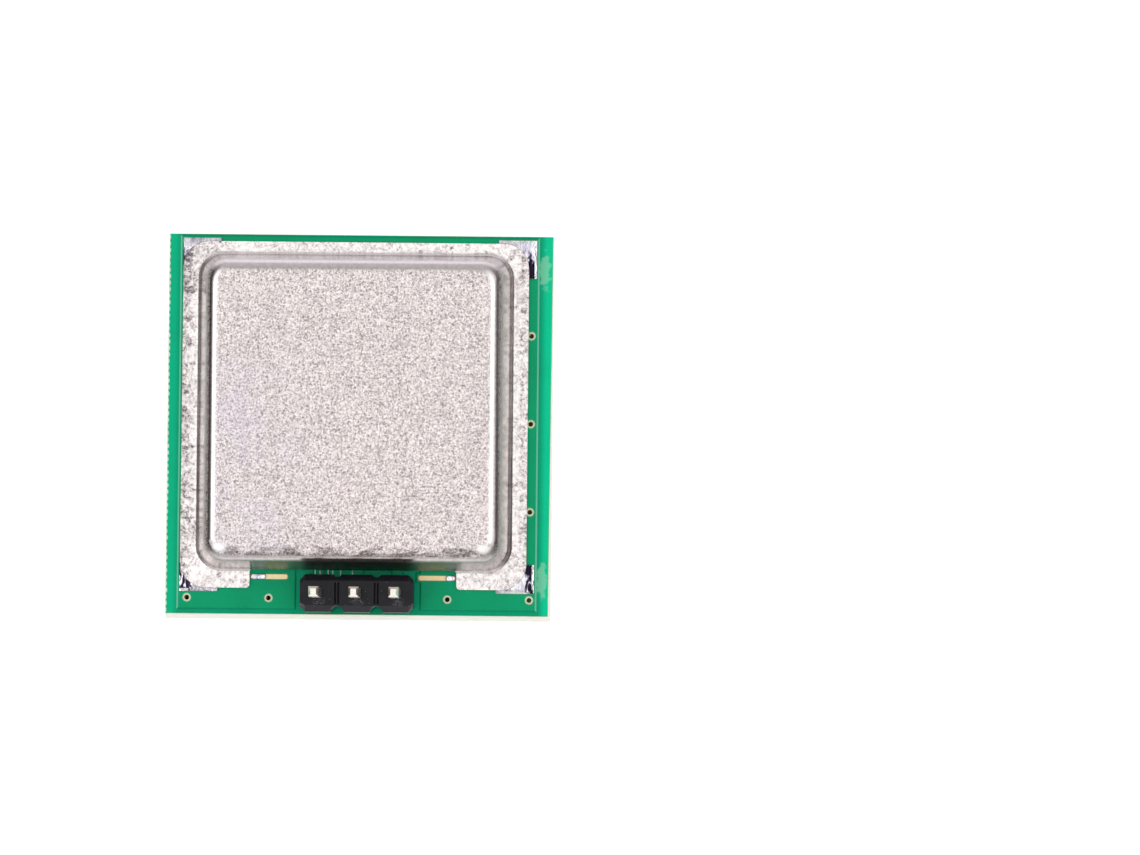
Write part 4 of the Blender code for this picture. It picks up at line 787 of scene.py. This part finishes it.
def header_plastic():
    """Black moulded plastic with a faint sheen, with pale speckled marks in front of its pins and dusted with
    pale grains.
    """
    shader = Shader("header_black")
    grain = shader.noise(0.06 * MM, 4, 0.7)
    cloud = shader.noise(0.7 * MM, 3, 0.6)
    dust = shader.cells(0.34 * MM)
    colour = shader.stops(cloud, ((0.3, srgb(8, 9, 16)), (0.7, srgb(22, 23, 34))))
    colour = shader.mix(shader.ramp(dust, 0.055, 0.09, 0.45, 0.0), colour, srgb(160, 160, 166))
    mark_speckle = shader.soft_ramp(shader.noise(0.08 * MM, 2, 0.6), 0.5, 0.62, 0.0, 0.6)
    for pin in PINS:
        low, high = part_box(pin)
        place = ((low[0] + high[0]) / 2 / MM + PIN_MARK_OFFSET[0], low[1] / MM + PIN_MARK_OFFSET[1])
        pale_mark = shader.times(shader.blob(place, PIN_MARK_RADII, 0.4, 0.2 * MM, 0.6), mark_speckle)
        colour = shader.mix(pale_mark, colour, srgb(128, 126, 134))
    return shader.set(
        Base_Color=colour,
        Roughness=shader.ramp(grain, 0.3, 0.7, 0.26, 0.5),
        Specular_IOR_Level=0.28,
        Normal=shader.bump(grain, 0.4, 0.012 * MM),
    ).material


def longer_side(node):
    """The axis along which a node is longer, with its middle and half its length there."""
    low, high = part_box(node)
    axis = 0 if high[0] - low[0] > high[1] - low[1] else 1
    return axis, (low[axis] + high[axis]) / 2, (high[axis] - low[axis]) / 2


def beyond(shader, axis, middle, half):
    """1 further than this from the middle along one axis, and 0 nearer."""
    away = shader.magnitude(shader.minus(shader.split(shader.place)[axis], middle))
    return shader.soft_ramp(away, half - 0.01 * MM, half + 0.01 * MM)


def package(node):
    """A small black package, whose leads are tinned."""
    axis, middle, _ = longer_side(node)
    shader = Shader(node + "_finish")
    leads = beyond(shader, axis, middle, PACKAGE_BODY_HALF)
    grain = shader.noise(0.05 * MM, 4, 0.7)
    body = shader.stops(grain, ((0.3, srgb(24, 24, 26)), (0.7, srgb(46, 46, 48))))
    tin = shader.stops(grain, ((0.3, srgb(176, 174, 172)), (0.7, srgb(232, 230, 226))))
    return shader.set(
        Base_Color=shader.mix(leads, body, tin),
        Metallic=leads,
        Roughness=shader.ramp(grain, 0.3, 0.7, 0.35, 0.6),
        Normal=shader.bump(grain, 0.4, 0.01 * MM),
    ).material


def chip(node, dark, light):
    """A chip resistor or capacitor with plated ends."""
    axis, middle, half = longer_side(node)
    shader = Shader(node + "_finish")
    ends = beyond(shader, axis, middle, half - CHIP_PLATING)
    grain = shader.noise(0.07 * MM, 4, 0.7)
    body = shader.stops(grain, ((0.3, dark), (0.7, light)))
    tin = shader.stops(grain, ((0.3, srgb(186, 184, 182)), (0.7, srgb(238, 236, 232))))
    return shader.set(
        Base_Color=shader.mix(ends, body, tin),
        Metallic=ends,
        Roughness=shader.ramp(grain, 0.3, 0.7, 0.3, 0.55),
        Normal=shader.bump(grain, 0.35, 0.01 * MM),
    ).material


# Rims of the bare copper


def flat_loops(node, level):
    """The closed outlines of a node's faces that lie at this height, as lists of points in the plane."""
    mesh = nodes[node].data
    flat = set()
    for polygon in mesh.polygons:
        if all(abs(mesh.vertices[index].co.z - level) < SAME_HEIGHT for index in polygon.vertices):
            flat.add(polygon.index)

    def key(index):
        place = mesh.vertices[index].co
        return (round(place.x / MICROMETRE), round(place.y / MICROMETRE))

    sides = set()
    for index in flat:
        corners = [key(corner) for corner in mesh.polygons[index].vertices]
        sides.update(zip(corners, corners[1:] + corners[:1]))
    following = {}
    for start, end in sides:
        if (end, start) not in sides:
            following.setdefault(start, []).append(end)
    loops = []
    while following:
        place = min(following)
        loop = []
        while place in following:
            loop.append(place)
            ends = following[place]
            place_after = ends.pop()
            if not ends:
                del following[place]
            place = place_after
        loops.append([Vector((x * MICROMETRE, y * MICROMETRE)) for x, y in loop])
    return loops


def signed_area(loop):
    return sum(a.x * b.y - b.x * a.y for a, b in zip(loop, loop[1:] + loop[:1])) / 2


def moved_in(loop, distance):
    """The loop with each side moved to its left by the distance."""
    moved = []
    for before, place, after in zip(loop[-1:] + loop[:-1], loop, loop[1:] + loop[:1]):
        ahead, behind = (after - place).normalized(), (place - before).normalized()
        across = Vector((-ahead.y - behind.y, ahead.x + behind.x))
        if across.length < SHORTEST_DIRECTION:
            moved.append(place.copy())
            continue
        across.normalize()
        reach = distance / max(across.dot(Vector((-ahead.y, ahead.x))), SHARPEST_COSINE)
        moved.append(place + across * reach)
    return moved


def make_rims(name, loops, height, far, material, facing=1):
    """Thin ribbons that follow the loops on their left and end this far from them."""
    shape = bmesh.new()
    for loop in loops:
        outer = [shape.verts.new((*place, height)) for place in moved_in(loop, RIM_START)]
        inner = [shape.verts.new((*place, height)) for place in moved_in(loop, far)]
        for index in range(len(loop)):
            after = (index + 1) % len(loop)
            corners = (outer[index], outer[after], inner[after], inner[index])
            shape.faces.new(corners[::facing])
    mesh = bpy.data.meshes.new(name)
    shape.to_mesh(mesh)
    shape.free()
    mesh.materials.append(material)
    rims = bpy.data.objects.new(name, mesh)
    bpy.context.scene.collection.objects.link(rims)
    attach(rims, BODY)


def between(loops, areas):
    """The loops whose area lies between these two, in square millimetres."""
    return [loop for loop in loops if areas[0] < signed_area(loop) / MM**2 < areas[1]]


def make_all_rims():
    """Rims round the vias and strips that the mask leaves bare, and round the antennas' copper."""
    pale = etched_rim("rim_pale", srgb(158, 194, 160), srgb(212, 232, 206))
    brown = etched_rim("rim_brown", srgb(120, 74, 48), srgb(190, 146, 104))
    pink = etched_rim("rim_pink", srgb(196, 140, 118), srgb(232, 190, 166))
    mask_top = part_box("component_side_mask")[1][2]
    openings = [loop[::-1] for loop in flat_loops("component_side_mask", mask_top)]
    height = COMPONENT_FACE + COPPER_RISE + RIM_LIFT
    make_rims("via_rims", between(openings, VIA_AREAS), height, VIA_RIM, pale)
    make_rims("strip_rims", between(openings, STRIP_AREAS), height, STRIP_RIM, brown)
    antenna_top = ANTENNA_FACE - COPPER_RISE
    for name in ("transmit_antenna", "receive_antenna"):
        outlines = [loop[::-1] for loop in flat_loops(name, antenna_top)]
        make_rims(name + "_rims", outlines, antenna_top - RIM_LIFT, ANTENNA_RIM, pink, -1)


# Even roundings


def rounding_nodes():
    """A node group that lets the light run smoothly over every edge less sharp than SMOOTH_ANGLE."""
    group = bpy.data.node_groups.new("smooth_roundings", "GeometryNodeTree")
    group.interface.new_socket("Geometry", in_out="INPUT", socket_type="NodeSocketGeometry")
    group.interface.new_socket("Geometry", in_out="OUTPUT", socket_type="NodeSocketGeometry")
    start = group.nodes.new("NodeGroupInput")
    clear = group.nodes.new("GeometryNodeRemoveAttribute")
    clear.inputs["Name"].default_value = "custom_normal"
    merge = group.nodes.new("GeometryNodeMergeByDistance")
    merge.inputs["Distance"].default_value = MERGE_DISTANCE
    faces = group.nodes.new("GeometryNodeSetShadeSmooth")
    angle = group.nodes.new("GeometryNodeInputMeshEdgeAngle")
    gentle = group.nodes.new("FunctionNodeCompare")
    gentle.operation = "LESS_THAN"
    gentle.inputs["B"].default_value = SMOOTH_ANGLE
    edges = group.nodes.new("GeometryNodeSetShadeSmooth")
    edges.domain = "EDGE"
    end = group.nodes.new("NodeGroupOutput")
    link = group.links.new
    link(start.outputs[0], clear.inputs["Geometry"])
    link(clear.outputs["Geometry"], merge.inputs["Geometry"])
    link(merge.outputs["Geometry"], faces.inputs["Geometry"])
    link(faces.outputs["Geometry"], edges.inputs["Geometry"])
    link(angle.outputs["Unsigned Angle"], gentle.inputs["A"])
    link(gentle.outputs["Result"], edges.inputs["Shade Smooth"])
    link(edges.outputs["Geometry"], end.inputs[0])
    return group


def smooth_roundings():
    """Gives the drawn and the molten pieces even roundings, where the flat places stay flat."""
    group = rounding_nodes()
    for piece in bpy.data.objects:
        if piece.type == "MESH" and piece.name.startswith(ROUNDED_PIECES):
            piece.modifiers.new("roundings", "NODES").node_group = group
            weights = piece.modifiers.new("flat_places", "WEIGHTED_NORMAL")
            weights.mode = "FACE_AREA"
            weights.keep_sharp = True


# The stage


def floor_paper():
    """White paper that glows, with painted light brightest beside the part and a painted shadow where the
    part stands on it.
    """
    shader = Shader("floor_white")
    paper = shader.stops(shader.noise(50 * MM, 2), ((0.0, (0.8, 0.8, 0.8, 1)), (1.0, (0.84, 0.84, 0.84, 1))))
    x, y, _ = shader.split(shader.place)
    across = shader.minus(shader.magnitude(x), BOARD_HALF)
    along = shader.minus(shader.magnitude(y), BOARD_HALF)
    away = shader.larger(across, along)
    # glow is 1 beyond the part and 0 under it, where a painted shadow darkens the paper and stops its glow
    glow = shader.soft_ramp(away, -1.0 * MM, 0.1 * MM)
    return shader.set(
        Base_Color=shader.mix(glow, (0.12, 0.12, 0.12, 1), paper),
        Roughness=0.9,
        Specular_IOR_Level=0.1,
        Emission_Color=shader.mix(glow, BLACK, WHITE),
        # Painted light: the paper glows brighter beside the part
        Emission_Strength=shader.soft_ramp(away, 7.0 * MM, 0.0, 0.42, 0.62),
    ).material


def make_floor():
    """A large flat sheet, as in a light tent."""
    half = FLOOR_HALF
    corners = [(-half, -half, 0), (half, -half, 0), (half, half, 0), (-half, half, 0)]
    mesh = bpy.data.meshes.new("floor")
    mesh.from_pydata(corners, [], [(0, 1, 2, 3)])
    floor = bpy.data.objects.new("floor", mesh)
    bpy.context.scene.collection.objects.link(floor)
    mesh.materials.append(floor_paper())


def make_world():
    """Studio surroundings that differ to the sides, to the front and to the back of the part."""
    world = bpy.data.worlds.new("studio")
    bpy.context.scene.world = world
    world.use_nodes = True
    tree = Tree(world.node_tree)
    x, y, z = tree.split(tree.add("ShaderNodeTexCoord").outputs["Generated"])
    share = tree.plus(tree.times(z, 0.5), 0.5)
    looks = []
    for stops in (SIDE_STOPS, FRONT_STOPS, BACK_STOPS):
        places = [0.5 + height / 2 for height, _ in stops]
        colours = [(*(value * tint for tint in STUDIO_TINT), 1) for _, value in stops]
        looks.append(tree.stops(share, list(zip(places, colours))))
    side, front, back = looks
    level = tree.length(x, y)
    sideways = tree.over(tree.magnitude(x), tree.larger(level, 0.001))
    ends = tree.mix(tree.soft_ramp(y, -0.05, 0.05), front, back)
    background = world.node_tree.nodes["Background"]
    tree.feed(background.inputs["Color"], tree.mix(tree.soft_ramp(sideways, 0.35, 0.8), ends, side))


def make_light():
    """A faint lamp to the left and to the front, which lights the part's middle."""
    data = bpy.data.lights.new("key", "AREA")
    data.size = LIGHT_SIZE
    data.energy = LIGHT_WATTS
    light = bpy.data.objects.new("key", data)
    light.location = LIGHT_PLACE
    light.rotation_euler = (-Vector(LIGHT_PLACE)).to_track_quat("-Z", "Y").to_euler()
    bpy.context.scene.collection.objects.link(light)


def make_camera():
    """Above a point to the right of the part, as the photograph's middle is, and a little to the front."""
    data = bpy.data.cameras.new("camera")
    data.sensor_width = SENSOR_WIDTH
    data.lens = PIXELS_PER_MM * (CAMERA_DISTANCE / MM) * SENSOR_WIDTH / PHOTO_WIDTH
    data.clip_start = 0.01
    data.clip_end = 10
    camera = bpy.data.objects.new("camera", data)
    bpy.context.scene.collection.objects.link(camera)
    turned = Matrix.Rotation(CAMERA_ROLL, 3, "Z")
    back = turned @ Vector((0, -sin(CAMERA_TILT), cos(CAMERA_TILT)))
    right = turned @ Vector((1, 0, 0))
    up = back.cross(right)
    turn = Matrix((right, up, back)).transposed().to_4x4()
    camera.matrix_world = Matrix.Translation(AIM + back * CAMERA_DISTANCE) @ turn
    bpy.context.scene.camera = camera


def make_stage():
    """The camera, the floor, the surroundings and the light, and how the picture is shown."""
    make_camera()
    make_floor()
    make_world()
    make_light()
    scene = bpy.context.scene
    scene.view_settings.view_transform = "Standard"
    scene.cycles.max_bounces = 6
    scene.cycles.use_denoising = True


def dress():
    """Gives each node of the CAD model its material."""
    assign(laminate(), "board")
    assign(component_mask(), "component_side_mask")
    assign(antenna_mask(), "antenna_side_mask")
    assign(gold(), *COPPER)
    assign(can_metal(), "shield_can")
    assign(solder_metal(), *SOLDER)
    assign(header_plastic(), "header_housing")
    assign(pin_metal(), *PINS)
    for node in PACKAGES:
        assign(package(node), node)
    for node in RESISTORS:
        assign(chip(node, srgb(24, 24, 28), srgb(44, 44, 50)), node)
    for node in CAPACITORS:
        assign(chip(node, srgb(158, 128, 92), srgb(188, 160, 122)), node)


def main():
    make_stage()
    dress()
    smooth_roundings()
    make_all_rims()


main()
